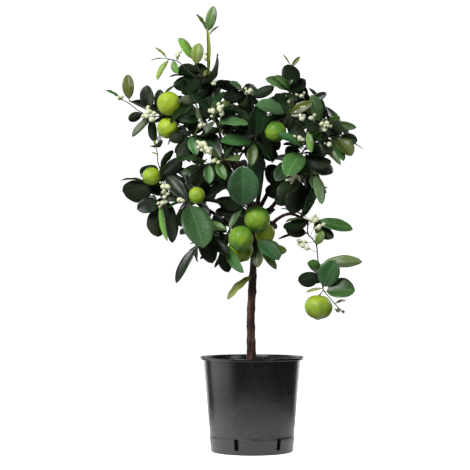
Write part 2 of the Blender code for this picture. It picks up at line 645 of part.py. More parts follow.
def leaf_rows(base, tip, width, roll, toward, stations):
    """Three points across the leaf at each station, and the direction that its upper side faces."""
    axis = tip - base
    along = axis.normalized()
    face = (toward - along * toward.dot(along)).normalized()
    face.rotate(Matrix.Rotation(math.radians(roll), 3, along))
    side = along.cross(face)
    rows = []
    for share, wide in stations:
        half = max(width * wide, PETIOLE_WIDTH) / 2
        middle = base + axis * share + face * (LEAF_ARCH * axis.length * 4 * share * (1 - share))
        lifted = face * (LEAF_FOLD * half)
        rows.append([middle - side * half + lifted, middle, middle + side * half + lifted])
    rows[-1] = [tip, tip, tip]
    return rows, face


def leaf_shell(rows, face, half):
    """A closed shell round the leaf, half a thickness out on each side."""
    bm = bmesh.new()
    layers = []
    for side in (half, -half):
        layers.append([[bm.verts.new((p + face * side) * MM) for p in row] for row in rows])
    top, bottom = layers
    for i in range(len(rows) - 1):
        for j in range(2):
            bm.faces.new([top[i][j], top[i][j + 1], top[i + 1][j + 1], top[i + 1][j]])
            bm.faces.new([bottom[i][j], bottom[i + 1][j], bottom[i + 1][j + 1], bottom[i][j + 1]])
        bm.faces.new([top[i][0], top[i + 1][0], bottom[i + 1][0], bottom[i][0]])
        bm.faces.new([top[i][2], bottom[i][2], bottom[i + 1][2], top[i + 1][2]])
    bm.faces.new([top[0][0], bottom[0][0], bottom[0][1], bottom[0][2], top[0][2], top[0][1]])
    bm.faces.new([top[-1][0], top[-1][1], top[-1][2], bottom[-1][2], bottom[-1][1], bottom[-1][0]])
    return bm


def add_sheet(bm, rows):
    """The leaf's middle surface, for Solidify: two points across the petiole, three across the blade."""
    stalk = [[bm.verts.new(row[j] * MM) for j in (0, 2)] for row in rows[:2]]
    blade = [[bm.verts.new(p * MM) for p in row] for row in rows[2:-1]]
    tip = bm.verts.new(rows[-1][1] * MM)
    bm.faces.new([*stalk[0], stalk[1][1], stalk[1][0]])
    (left, right), first, last = stalk[1], blade[0], blade[-1]
    bm.faces.new([left, first[1], first[0]])
    bm.faces.new([left, right, first[1]])
    bm.faces.new([right, first[2], first[1]])
    for low, high in zip(blade, blade[1:]):
        for j in range(2):
            bm.faces.new([low[j], low[j + 1], high[j + 1], high[j]])
    for j in range(2):
        bm.faces.new([last[j], last[j + 1], tip])


def variants(nudge):
    """The small changes of tip, roll and size tried in turn until a leaf stands clear."""
    for shrink in (1.0, 0.9, 0.78):
        for turn in (0, 16, -16, 32, -32, 50, -50):
            for push in (0, -7, 7, -14, 14, -22, 22, -32, 32):
                yield shrink, turn, nudge * push


def petiole_spot(path, at, parent_radius):
    """Where a leaf leaves its twig: at its station, but clear of what the twig grows from."""
    last = (len(path.points) - 1) / path.cuts
    while at < last and (spot(path, at)[0] - path.points[0]).length < parent_radius + 3.0:
        at += 0.02
    return spot(path, at)[0]


def grow_leaf(owner, base, leaf, toward, nudge, stations):
    """The rows of the first variant that crosses nothing, or None."""
    for shrink, turn, push in variants(nudge):
        tip = base + (Vector(leaf.tip) - base) * shrink + push
        rows, face = leaf_rows(base, tip, leaf.width * shrink, leaf.roll + turn, toward, stations)
        fat = LEAF_THICKNESS / 2 + LEAF_CLEARANCE
        whole = leaf_shell(rows, face, fat)
        blade = leaf_shell(rows[1:], face, fat)
        clear = stands_clear(whole, owner, ("stem", "leaf")) and stands_clear(blade, owner)
        whole.free()
        blade.free()
        if clear:
            shell = leaf_shell(rows, face, LEAF_THICKNESS / 2)
            place(owner, "leaf", shell)
            shell.free()
            return rows
    return None


def within_crown(base, tip):
    """The tip brought inside the crown's outline; the leaf turns inwards instead, and keeps its length."""
    height = min(max(tip.z, CROWN_EDGES[0][0]), CROWN_EDGES[-1][0])
    for low, high in zip(CROWN_EDGES, CROWN_EDGES[1:]):
        if height <= high[0]:
            share = (height - low[0]) / (high[0] - low[0])
            left, right = (a + (b - a) * share for a, b in zip(low[1:], high[1:]))
            break
    x = min(max(tip.x, left), right)
    if NOTCH_SIDES[0] < x < NOTCH_SIDES[1]:
        height = min(height, NOTCH_TOP)
    if (x, height) == (tip.x, tip.z):
        return tip
    depth = (tip - base).length_squared - (x - base.x) ** 2 - (height - base.z) ** 2
    return Vector((x, base.y + math.copysign(math.sqrt(max(depth, 0.0)), -base.y), height))


def fill_leaves(path, count, chance):
    """Leaves set round a twig by the golden angle, each a Leaf with the way that it faces."""
    last = (len(path.points) - 1) / path.cuts
    made = []
    inward = 0.55 if path.points[-1].y < 0 else 0.0
    for k in range(count):
        at = last * (0.2 + 0.8 * k / max(count - 1, 1))
        base = spot(path, at)[0]
        ahead = (spot(path, min(at + 0.3, last))[0] - spot(path, at - 0.3)[0]).normalized()
        outward = Vector((base.x, base.y, 0.0)).normalized()
        across = ahead.orthogonal().normalized()
        across.rotate(Matrix.Rotation(GOLDEN_ANGLE * k + chance.uniform(-0.3, 0.3), 3, ahead))
        way = (ahead * 0.35 + across + outward * (0.4 - inward) + Vector((0, inward, 0))).normalized()
        length = chance.uniform(*FILL_LENGTH)
        width = length * chance.uniform(0.44, 0.54)
        toward = (outward * 0.7 + Vector((0.0, 0.0, 0.9))).normalized()
        tip = within_crown(base, base + way * length)
        made.append((Leaf(at, tip, width, chance.uniform(-15, 15)), toward))
    return made


# Limes

def lime_profile(lime):
    """(radius, height) from the stem end down to the nipple at the blossom end."""
    half = lime.length / 2
    profile = [(0.0, half * 0.985)]
    for degrees in (24, 50, 78, 106, 132, 156):
        angle = math.radians(degrees)
        profile.append((lime.radius * math.sin(angle), half * math.cos(angle)))
    return profile + [(lime.radius * 0.13, -half * 1.04), (0.0, -half * 1.07)]


def lime_matrix(lime):
    turn = Vector(lime.axis).to_track_quat("Z", "Y").to_matrix().to_4x4()
    return Matrix.Translation(Vector(lime.centre) * MM) @ turn


def stem_end(lime):
    return Vector(lime.centre) + Vector(lime.axis).normalized() * lime.length / 2


def make_lime(name, lime):
    finish = "fruitlet" if name == "fruitlet" else "lime"
    obj = turned("lime_" + name, lime_profile(lime), finish, LIME_SIDES)
    obj.matrix_world = lime_matrix(lime)


def place_lime(name, lime):
    bm = bmesh.new()
    bmesh.ops.create_uvsphere(bm, u_segments=LIME_SIDES, v_segments=8, radius=MM)
    size = (lime.radius + GAP, lime.radius + GAP, lime.length / 2 + GAP)
    bmesh.ops.scale(bm, vec=size, verts=bm.verts)
    bmesh.ops.transform(bm, matrix=lime_matrix(lime), verts=bm.verts)
    place("lime_" + name, "lime", bm)
    bm.free()


def add_rod(bm, start, end, radius):
    """A straight four-sided stalk between two points, in millimetres."""
    way = end - start
    turn = way.to_track_quat("Z", "Y").to_matrix().to_4x4()
    matrix = Matrix.Translation((start + end) / 2 * MM) @ turn
    bmesh.ops.create_cone(
        bm, cap_ends=True, segments=4, radius1=radius * MM, radius2=radius * MM,
        depth=way.length * MM, matrix=matrix,
    )


def lime_stalk(lime, path):
    """The fruit stalk, from its twig to a clearance above the lime's stem end."""
    bm = bmesh.new()
    away = Vector(lime.axis).normalized()
    add_rod(bm, spot(path, lime.at)[0], stem_end(lime) + away * 3 * GAP, STALK_RADIUS)
    return bm


# Buds

def bud_shape(centre, root):
    bm = bmesh.new()
    size = Matrix.Diagonal((1.0, 1.0, 1.3, 1.0))
    turn = (centre - root).to_track_quat("Z", "Y").to_matrix().to_4x4()
    matrix = Matrix.Translation(centre * MM) @ turn @ size
    bmesh.ops.create_icosphere(bm, subdivisions=1, radius=BUD_RADIUS * MM, matrix=matrix)
    add_rod(bm, root, centre, BUD_STALK_RADIUS)
    return bm


def nearest_roots(centre, paths):
    """(distance, shoot, point) of the nearest twig points that a bud's stalk can reach."""
    found = []
    for name, path in paths.items():
        for point in path.points[1:]:
            distance = (point - centre).length
            if BUD_RADIUS + 3 < distance < BUD_STALK_LONGEST:
                found.append((distance, name, point))
    return sorted(found, key=lambda item: item[:2])[:6]


def grow_bud(centre, paths):
    """The bud on the nearest twig that it can reach without crossing anything, or None."""
    for push in (0, -6, 6, -12, 12):
        moved = Vector(centre) + Vector((0, push, 0))
        for _, owner, root in nearest_roots(moved, paths):
            shape = bud_shape(moved, root)
            if stands_clear(shape, owner):
                place(owner, "bud", shape)
                return owner, shape
            shape.free()
    return None


# The whole tree

def make_stem(name, path, parent_name, parent, sides, parent_sides):
    obj = add_part(name, tube_mesh(name, path.points, path.radii, sides), "bark")
    cut(obj, helper_tube("clear_of_" + parent_name + "_for_" + name, parent, GAP, parent_sides))
    return obj


def append_bmesh(target, other):
    mesh = mesh_of("scrap", other)
    target.from_mesh(mesh)
    bpy.data.meshes.remove(mesh)


def make_shoot(name, path, parent, parent_sides, sheets, extras):
    """A twig with everything that grew on it, in one piece, clear of what it grew from."""
    title = "shoot_" + name
    obj = add_part(title, tube_mesh(title, path.points, path.radii, TWIG_SIDES), "leaf")
    if sheets is not None:
        leaves = add_helper("leaves_" + name, mesh_of("leaves_" + name, sheets))
        solid = leaves.modifiers.new("thickness", "SOLIDIFY")
        solid.thickness = LEAF_THICKNESS * MM
        solid.offset = 0.0
        join(obj, leaves)
    if extras is not None:
        join(obj, add_helper("stalks_" + name, mesh_of("stalks_" + name, extras)))
    cut(obj, helper_tube("parent_of_" + name, parent, GAP, parent_sides))


def grow_tree():
    trunk = trunk_path()
    make_pot()
    make_root_ball(trunk)
    trunk_mesh = tube_mesh("trunk", trunk.points, trunk.radii, TRUNK_SIDES)
    add_part("trunk", trunk_mesh, "bark")
    place_mesh("trunk", "stem", trunk_mesh)

    paths = {"trunk": trunk}
    sides = {"trunk": TRUNK_SIDES}
    neighbours = []
    for name, branch in LIMBS.items():
        paths[name] = branch_path(branch, trunk, LIMB_START, LIMB_END, LIMB_CUTS)
        sides[name] = LIMB_SIDES
        limb = make_stem("limb_" + name, paths[name], "trunk", trunk, LIMB_SIDES, TRUNK_SIDES)
        for neighbour in neighbours:
            cut(limb, neighbour)
        neighbours.append(helper_tube("clear_of_" + name, paths[name], GAP, LIMB_SIDES))
        place_mesh("limb_" + name, "stem", limb.data)
    for name, lime in LIMES.items():
        make_lime(name, lime)
        place_lime(name, lime)

    twigs = {**TWIGS, **BACK_TWIGS}
    twig_paths = {}
    for name, branch in twigs.items():
        parent = paths[branch.parent]
        start = min(TWIG_START, spot(parent, branch.at)[1] * CHILD_SHARE)
        paths[name] = branch_path(branch, parent, TWIG_START, start * TWIG_TAPER, TWIG_CUTS)
        sides[name] = TWIG_SIDES
        twig_paths[name] = paths[name]
        scrap = tube_mesh("scrap", paths[name].points, paths[name].radii, TWIG_SIDES)
        place_mesh(name, "stem", scrap)
        bpy.data.meshes.remove(scrap)

    extras = {}
    for lime in LIMES.values():
        stalk = lime_stalk(lime, paths[lime.twig])
        place(lime.twig, "stem", stalk)
        append_bmesh(extras.setdefault(lime.twig, bmesh.new()), stalk)

    sheets = {}
    chance = random.Random(FILL_SEED)
    for name, branch in twigs.items():
        parent_radius = spot(paths[branch.parent], branch.at)[1]
        for leaf in LEAVES.get(name, ()):
            base = petiole_spot(paths[name], leaf.at, parent_radius)
            stations = LEAF_STATIONS if leaf.width > SMALL_LEAF else SMALL_STATIONS
            rows = grow_leaf(name, base, leaf, FRONT_AND_UP, Vector((0, 1, 0)), stations)
            if rows:
                add_sheet(sheets.setdefault(name, bmesh.new()), rows)
    for centre in BUDS:
        grown = grow_bud(centre, twig_paths)
        if grown:
            append_bmesh(extras.setdefault(grown[0], bmesh.new()), grown[1])
    for name, count in FILL_COUNTS.items():
        parent_radius = spot(paths[twigs[name].parent], twigs[name].at)[1]
        for leaf, toward in fill_leaves(paths[name], count, chance):
            base = petiole_spot(paths[name], leaf.at, parent_radius)
            rows = grow_leaf(name, base, leaf, toward, Vector((0, 0, 1)), SMALL_STATIONS)
            if rows:
                add_sheet(sheets.setdefault(name, bmesh.new()), rows)

    for name, branch in twigs.items():
        parent = branch.parent
        make_shoot(name, paths[name], paths[parent], sides[parent], sheets.get(name), extras.get(name))


clear_scene()
PARTS = new_collection("potted_lime_tree")
HELPERS = new_collection("helpers")
HELPERS.hide_render = True
STANDING = []
grow_tree()
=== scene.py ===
"""Looks of the potted lime tree: every leaf, bud, lime and stem, the pot and the soil, round the CAD frame.

Points and sizes in the tables are in millimetres, as in the part's source, and MM turns them into metres.
"""

import json
import math
import random
from collections import namedtuple

import bmesh
import bpy
from mathutils import Matrix, Vector, noise
from mathutils.bvhtree import BVHTree

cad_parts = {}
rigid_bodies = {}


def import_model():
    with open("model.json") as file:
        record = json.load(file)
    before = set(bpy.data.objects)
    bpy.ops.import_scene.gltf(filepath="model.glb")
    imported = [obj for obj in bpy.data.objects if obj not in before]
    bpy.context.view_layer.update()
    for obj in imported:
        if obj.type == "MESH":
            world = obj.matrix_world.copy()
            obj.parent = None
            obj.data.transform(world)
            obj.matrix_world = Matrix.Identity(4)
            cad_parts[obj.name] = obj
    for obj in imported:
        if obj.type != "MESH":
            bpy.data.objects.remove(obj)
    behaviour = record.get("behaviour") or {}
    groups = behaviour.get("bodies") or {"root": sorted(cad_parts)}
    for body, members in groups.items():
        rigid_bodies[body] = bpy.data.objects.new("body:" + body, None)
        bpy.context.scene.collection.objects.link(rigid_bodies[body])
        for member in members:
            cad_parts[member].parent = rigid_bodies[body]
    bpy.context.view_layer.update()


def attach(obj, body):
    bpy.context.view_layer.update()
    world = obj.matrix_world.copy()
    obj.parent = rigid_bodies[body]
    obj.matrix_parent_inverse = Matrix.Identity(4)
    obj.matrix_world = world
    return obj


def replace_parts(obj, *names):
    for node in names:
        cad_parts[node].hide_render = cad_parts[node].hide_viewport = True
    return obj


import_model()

MM = 0.001
GAP = 0.3  # left between any two pieces that touch
MERGE = 0.01 * MM

# Pot, in millimetres
POT_HEIGHT = 200.0
RIM_RADIUS = 110.0
RIM_OVERHANG = 6.8
RIM_DEPTH = 5.5
RIM_ROUND = 1.5
RIM_UNDER_ROUND = 1.1
BASE_RADIUS = 86.0
BASE_ROUND = 2.2
WALL = 1.8
FLOOR = 3.0
STEP_HEIGHT = 32.0
STEP_OUT = 1.4
CORNER_WEB = 10.0
SLOT_COUNT = 6
SLOT_TURN = -22.0
SLOT_WIDTH = 9.5
SLOT_BOTTOM = 7.0
SLOT_TOP = 33.0
SLOT_SLOPE = 7.0
SLOT_ROUND = 0.7
POT_SPINS = 176

# Root ball, in millimetres
SOIL_BELOW_RIM = 24.0
SOIL_CROWN = 5.0
SOIL_CROWN_RADIUS = 92.0
SOIL_LUMPS = 2.6
SOIL_SPINS = 120
SOIL_RINGS = (
    0.0, 4.0, 9.0, 14.0, 20.0, 26.0, 32.0, 38.0, 44.0, 50.0, 56.0, 62.0, 68.0, 74.0, 80.0, 86.0, 92.0, 96.0,
)
# The ring round the stem in which loose bits lie
BITS_FROM = 14.0
BITS_TO = 98.0
BITS_SEED = 41

# Sides of the part's own round pieces: a tube has four, and two more for each step of its resolution
TRUNK_SIDES = 3
LIMB_SIDES = 1
TWIG_SIDES = 0
LIME_SIDES = 12
LIMB_CUTS = 3
TWIG_CUTS = 2

# Growth, in millimetres
LEAF_THICKNESS = 0.9
LEAF_CLEARANCE = 0.5
PETIOLE_WIDTH = 1.7
LIMB_START = 5.0
LIMB_END = 2.5
TWIG_START = 2.0
TWIG_TAPER = 0.6
TWIG_LEAST = 0.95
CHILD_SHARE = 0.8
STALK_RADIUS = 1.2
BUD_STALK_RADIUS = 0.6
BUD_STALK_LONGEST = 42.0
FILL_LENGTH = (60.0, 84.0)
FILL_SEED = 11

Branch = namedtuple("Branch", "parent at points")
Leaf = namedtuple("Leaf", "at tip width roll kind")
Lime = namedtuple("Lime", "centre radius length axis twig at")
Path = namedtuple("Path", "points radii cuts")
Shape = namedtuple("Shape", "low high tree")
Placed = namedtuple("Placed", "owner kind shape")
Grown = namedtuple("Grown", "base tip width roll toward kind")

TRUNK_POINTS = [
    (-1, 0, 95), (-1, 0, 176), (-2, 0, 245), (-2, 0, 300), (1, 0, 345),
    (3, 0, 392), (6, 1, 440), (9, 3, 490), (12, 5, 530),
]
TRUNK_RADII = [12.0, 11.0, 8.8, 8.4, 8.7, 7.5, 7.2, 6.6, 6.0]

LIMBS = {
    "upper_left": Branch("trunk", 7, [
        (-28, 0, 565), (-62, -5, 622), (-92, -10, 681), (-110, -12, 733), (-108, -12, 776),
    ]),
    "lower_left": Branch("trunk", 6, [
        (-38, -15, 473), (-85, -28, 506), (-134, -38, 536), (-180, -42, 557),
    ]),
    "centre": Branch("trunk", 7.8, [(22, 8, 591), (18, 5, 651), (8, 0, 705), (0, -4, 749)]),
    "upper_right": Branch("trunk", 6.5, [
        (38, -6, 512), (62, -8, 544), (85, -8, 599), (98, -8, 659), (93, -8, 714), (82, -8, 761),
    ]),
    "lower_right": Branch("trunk", 5.6, [(38, -16, 477), (77, -28, 502), (116, -34, 488)]),
    "front": Branch("trunk", 6.2, [(2, -38, 503), (-15, -72, 555), (-34, -92, 600), (-45, -100, 640)]),
    "back_left": Branch("trunk", 6.8, [(-6, 36, 540), (-38, 60, 605), (-66, 72, 672), (-82, 68, 738)]),
    "back_right": Branch("trunk", 7.3, [(40, 36, 560), (74, 58, 618), (98, 70, 680), (100, 66, 738)]),
}

TWIGS = {
    "crown_left": Branch("upper_left", 5, [
        (-95, -14, 800), (-90, -14, 828), (-93, -14, 864), (-96, -16, 900),
    ]),
    "crown_left_inner": Branch("crown_left", 0.4, [(-112, -14, 810), (-128, -14, 836)]),
    "crown_left_arching": Branch("crown_left", 0.9, [
        (-106, -30, 792), (-122, -34, 795), (-136, -32, 806), (-156, -32, 825), (-180, -34, 831),
    ]),
    "left_tip": Branch("upper_left", 3.4, [
        (-149, -38, 703), (-198, -44, 714), (-225, -46, 723), (-259, -44, 740),
    ]),
    "left_tip_lower": Branch("left_tip", 1.7, [
        (-213, -50, 706), (-240, -52, 719), (-258, -52, 733), (-277, -52, 743),
    ]),
    "left_front": Branch("upper_left", 2.9, [(-99, -50, 696), (-110, -78, 712), (-119, -92, 730)]),
    "left_front_lower": Branch("left_front", 0.3, [(-106, -62, 653), (-125, -84, 659), (-142, -92, 666)]),
    "left_outer": Branch("lower_left", 4, [(-199, -52, 562), (-218, -60, 566)]),
    "left_outer_upright": Branch("left_outer", 0.2, [
        (-189, -58, 585), (-197, -60, 607), (-199, -62, 629), (-203, -62, 644),
    ]),
    "left_hanging": Branch("lower_left", 3.5, [(-174, -52, 539), (-189, -58, 529), (-199, -62, 518)]),
    "left_low_front": Branch("lower_left", 2.7, [(-124, -62, 528), (-131, -90, 522)]),
    "left_drop": Branch("lower_left", 2.2, [(-101, -52, 478), (-109, -58, 456), (-113, -60, 436)]),
    "centre_low": Branch("lower_left", 1.1, [(-54, -30, 454), (-58, -40, 431)]),
    "centre_front": Branch("front", 0.9, [(-16, -78, 516), (-20, -108, 509)]),
    "centre_left": Branch("front", 3.2, [(-59, -112, 611), (-80, -120, 603), (-103, -114, 597)]),
    "centre_upper": Branch("front", 4, [(-61, -106, 664), (-76, -110, 687), (-84, -108, 699)]),
    "centre_right": Branch("centre", 3, [(13, -45, 680), (3, -82, 649)]),
    "centre_top": Branch("centre", 4, [(-12, -12, 760), (-24, -16, 766)]),
    "right_top": Branch("upper_right", 6, [(80, -10, 785), (83, -10, 806), (82, -10, 822)]),
    "right_upper_front": Branch("upper_right", 4.9, [(84, -42, 707), (71, -72, 711)]),
    "right_fan_top": Branch("upper_right", 5.4, [(107, -22, 739), (121, -28, 740)]),
    "right_fan": Branch("upper_right", 4.4, [(123, -34, 688), (149, -44, 697), (167, -46, 694)]),
    "right_edge": Branch("upper_right", 3.8, [(130, -28, 655), (158, -34, 664), (183, -38, 664)]),
    "right_front": Branch("upper_right", 2.9, [(102, -52, 625), (114, -80, 644), (116, -90, 675)]),
    "right_low": Branch("upper_right", 2.3, [(96, -40, 569), (123, -58, 583), (140, -60, 583)]),
    "right_arm": Branch("lower_right", 3, [(131, -40, 486)]),
    "right_hanging": Branch("right_arm", 0.15, [
        (117, -42, 461), (127, -46, 448), (135, -48, 435), (138, -50, 404), (144, -52, 379),
        (147, -66, 345), (156, -84, 330), (170, -92, 313), (182, -92, 300),
    ]),
    "trunk_sprout": Branch("trunk", 4.6, [(5, -13, 374)]),
    "low_right": Branch("trunk", 5.4, [(12, -30, 419), (14, -60, 428), (9, -88, 445)]),
}
# Each leaf: how far along its stem, its tip, width, roll in degrees, and its kind where that isn't dark, the
# near-black painted shade
LEAVES = {
    "crown_left": [
        (3.7, -81, -24, 946, 23, 10, "pale"), (3.8, -119, -14, 931, 13, 30, "olive"),
        (3.5, -70, -12, 906, 5, 0, "young"), (0.6, -90, -34, 812, 17, 0, "young"),
        (1.0, -95, -20, 900, 9, 25, "young"), (0.2, -72, -36, 836, 46, -150), (0.1, -118, -34, 828, 40, 155),
    ],
    "crown_left_inner": [
        (1.8, -156, -18, 879, 22, 0, "young"), (1.4, -113, -8, 868, 27, 0, "young"),
        (0.6, -65, -30, 807, 46, -150), (1, -161, -4, 808, 28, 120), (0.5, -139, -30, 782, 34, 160),
        (0.5, -168, -20, 774, 34, 155),
    ],
    "crown_left_arching": [
        (5, -206, -34, 855, 10, 30, "young"), (5, -215, -30, 828, 7, 60, "young"),
        (4.8, -201, -40, 785, 17, 20, "young"), (4.5, -158, -36, 799, 16, 30, "young"),
        (0.8, -148, -45, 754, 30, 150), (1, -176, -28, 794, 16, 60),
    ],
    "left_tip": [
        (4, -262, -46, 796, 25, 0, "olive"), (2.6, -222, -56, 772, 32, -25), (2.0, -195, -30, 767, 22, 0),
        (0.6, -69, -55, 740, 34, -150), (1.1, -126, -62, 749, 22, 30, "grey"),
    ],
    "left_tip_lower": [
        (4, -309, -52, 762, 14, 30, "mid"), (1.6, -260, -58, 698, 20, 140),
        (0.9, -252, -58, 662, 18, 0, "grey"), (1.1, -235, -44, 688, 11, 100), (0.9, -205, -56, 651, 21, 160),
    ],
    "left_front": [
        (3, -148, -104, 738, 19, -35, "grey"), (2.6, -103, -112, 687, 13, 50, "grey"),
        (1.3, -153, -98, 694, 18, -45, "grey"), (2, -79, -80, 741, 30, -150), (0.8, -138, -62, 681, 30, 165),
        (2.9, -94, -96, 754, 22, -120),
    ],
    "left_front_lower": [
        (2.2, -114, -108, 620, 24, 10, "mid"), (3, -172, -90, 652, 26, 150), (2.2, -162, -64, 628, 30, 160),
        (1.2, -120, -60, 605, 30, 165), (2.5, -154, -80, 647, 22, 160), (0.9, -83, -84, 632, 22, -150),
        (2.6, -150, -60, 606, 32, 160),
    ],
    "left_outer": [
        (0.9, -179, -80, 626, 27, 8, "mid"), (2, -275, -58, 571, 15, 65, "olive"),
        (1.2, -271, -80, 547, 52, 165), (1.5, -224, -38, 605, 40, 0),
    ],
    "left_outer_upright": [
        (2.8, -210, -66, 628, 8, 30, "young"), (4, -204, -62, 655, 6, 0, "young"),
        (0.8, -148, -50, 617, 32, -160), (1.5, -165, -74, 633, 16, -120),
    ],
    "left_hanging": [
        (2.4, -240, -78, 509, 36, -15), (3, -197, -78, 451, 41, 165), (2.2, -176, -92, 442, 16, 40, "bright"),
        (1.4, -166, -62, 439, 30, -155), (1, -147, -70, 574, 32, -160),
    ],
    "left_low_front": [
        (2, -100, -132, 427, 74, -8, "gloss"), (1.2, -161, -84, 550, 32, 150), (0.8, -91, -74, 569, 30, -160),
    ],
    "left_drop": [
        (3, -159, -66, 355, 23, 10), (2.8, -115, -56, 399, 13, 50), (2.9, -131, -52, 438, 10, 60),
        (1.5, -83, -44, 397, 38, -165), (0.9, -55, -74, 467, 20, 10, "olive"),
    ],
    "centre_low": [
        (2, -50, -50, 378, 36, 165), (1.7, -19, -62, 377, 25, 15, "mid"), (0.7, -83, -60, 497, 30, 160),
        (0.9, -94, -44, 458, 30, 160),
    ],
    "centre_front": [
        (2, -19, -138, 595, 72, 0, "gloss"), (1, -48, -100, 466, 17, 20, "mid"),
        (1.2, -59, -95, 524, 32, 160), (1.4, -74, -62, 534, 34, 160), (0.6, -78, -80, 506, 28, 165),
    ],
    "centre_left": [
        (0.8, -29, -140, 605, 32, -10, "pale"), (2.5, -89, -134, 558, 23, -10, "pale"),
        (1.7, -55, -138, 566, 21, 10, "mid"), (3, -145, -118, 579, 17, -20, "grey"),
        (2.4, -132, -90, 563, 32, 160), (1.2, -77, -96, 568, 30, 155),
    ],
    "centre_upper": [
        (1.9, -9, -128, 681, 29, -15, "pale"), (2.2, -96, -118, 663, 17, 20, "grey"),
        (1, -38, -88, 723, 30, -150), (3, -108, -90, 726, 28, 150), (2.6, -59, -80, 734, 18, -150, "olive"),
    ],
    "centre_right": [
        (2, -66, -108, 648, 29, -15, "mid"), (2, -2, -102, 598, 24, 0, "olive"), (1, 34, -50, 620, 40, -165),
        (1.3, -25, -60, 683, 32, 160), (0.8, 12, -30, 736, 36, 150), (2, 26, -66, 590, 34, 165),
        (1.2, -6, -52, 612, 34, 165), (0.6, 58, -30, 638, 40, -160), (1.0, 46, -52, 612, 38, -165),
    ],
    "centre_top": [
        (2, -74, -24, 779, 24, 110), (1.6, -48, -34, 781, 20, 0, "grey"), (0.4, 48, -16, 774, 24, -150),
        (1, -62, -34, 747, 30, 150), (0.6, -30, -20, 737, 30, 160),
    ],
    "right_top": [
        (0.4, 76, -24, 821, 46, 140), (2.9, 66, -10, 845, 4, 0, "young"),
        (2.6, 103, -10, 840, 9, 20, "olive"), (0.3, 87, -34, 786, 14, 0, "mid"),
        (0.3, 115, -4, 791, 30, -160), (0, 28, -38, 788, 25, -20, "pale"),
        (0.2, 48, -26, 794, 19, -10, "pale"),
    ],
    "right_upper_front": [
        (2, 7, -104, 722, 42, -5, "matte"), (1.6, 127, -74, 733, 22, 30, "olive"),
        (0.8, 114, -48, 684, 32, -160), (1.2, 49, -50, 755, 34, 150),
    ],
    "right_fan_top": [(2, 158, -36, 758, 34, 35), (1, 116, -40, 707, 26, 150)],
    "right_fan": [
        (1.8, 124, -72, 749, 29, -10, "pale"), (2.5, 186, -40, 706, 15, 60, "olive"),
        (3, 220, -46, 683, 17, 40, "grey"), (1.4, 108, -50, 724, 20, 30, "olive"),
        (2.6, 188, -56, 670, 26, -120), (1, 140, -74, 652, 23, 0, "mid"),
    ],
    "right_edge": [
        (3, 223, -38, 656, 25, 40), (2.7, 210, -54, 623, 36, 0, "olive"), (2.3, 193, -60, 612, 21, 0, "mid"),
        (3, 236, -30, 640, 4, 0, "olive"), (1.4, 185, -64, 602, 17, 0, "grey"),
        (1.9, 175, -44, 626, 32, -160), (0.8, 149, -50, 635, 28, -160),
    ],
    "right_front": [
        (3, 122, -98, 625, 15, 15, "bright"), (1.2, 69, -106, 576, 46, -5, "pale"),
        (1.6, 49, -100, 664, 24, 0, "mid"), (0.8, 165, -74, 606, 34, -165), (2, 76, -60, 693, 32, 160),
        (1, 68, -60, 634, 36, 165),
    ],
    "right_low": [
        (3, 152, -62, 552, 22, 100), (2.5, 143, -78, 518, 23, 0, "pale"), (2, 133, -82, 548, 18, 0, "grey"),
        (1.3, 82, -52, 501, 46, 160), (0.8, 66, -64, 541, 26, 150), (0.4, 39, -50, 586, 36, 165),
        (0.3, 28, -34, 546, 36, 160), (0.6, 52, -44, 520, 34, 160), (0.2, 32, -26, 606, 40, 160),
        (0.8, 112, -66, 514, 30, 165),
    ],
    "right_arm": [
        (1, 212, -46, 469, 27, 15, "mid"), (0.8, 171, -46, 450, 29, -165), (0.2, 69, -40, 484, 16, 40, "mid"),
        (0.5, 61, -20, 515, 18, 60, "olive"), (0.4, 64, -52, 470, 26, 160), (0.2, 48, -24, 506, 26, 160),
    ],
    "right_hanging": [
        (1, 70, -42, 470, 27, 165), (1.1, 54, -38, 449, 13, 90), (3, 148, -50, 466, 19, 10, "bright"),
        (5, 114, -72, 398, 28, -15, "mid"), (5.2, 95, -62, 361, 33, 160), (6, 172, -84, 403, 45, 10, "mid"),
        (4.4, 230, -60, 401, 28, 15, "pale"), (6.4, 213, -84, 341, 50, 0, "mid"),
        (6, 112, -58, 337, 8, 0, "young"), (8, 196, -58, 320, 7, 0, "young"),
        (9, 190, -58, 293, 8, 0, "young"), (5.2, 128, -36, 364, 24, 160), (0.3, 82, -36, 490, 24, 160),
    ],
    "trunk_sprout": [(1, -53, -30, 321, 20, 15, "young")],
    "low_right": [
        (3, 55, -112, 403, 43, -10, "gloss"), (2.2, 11, -84, 388, 27, 15, "grey"),
        (2.5, 50, -80, 384, 34, 20, "olive"), (1.8, 73, -58, 424, 25, 30, "olive"),
    ],
}

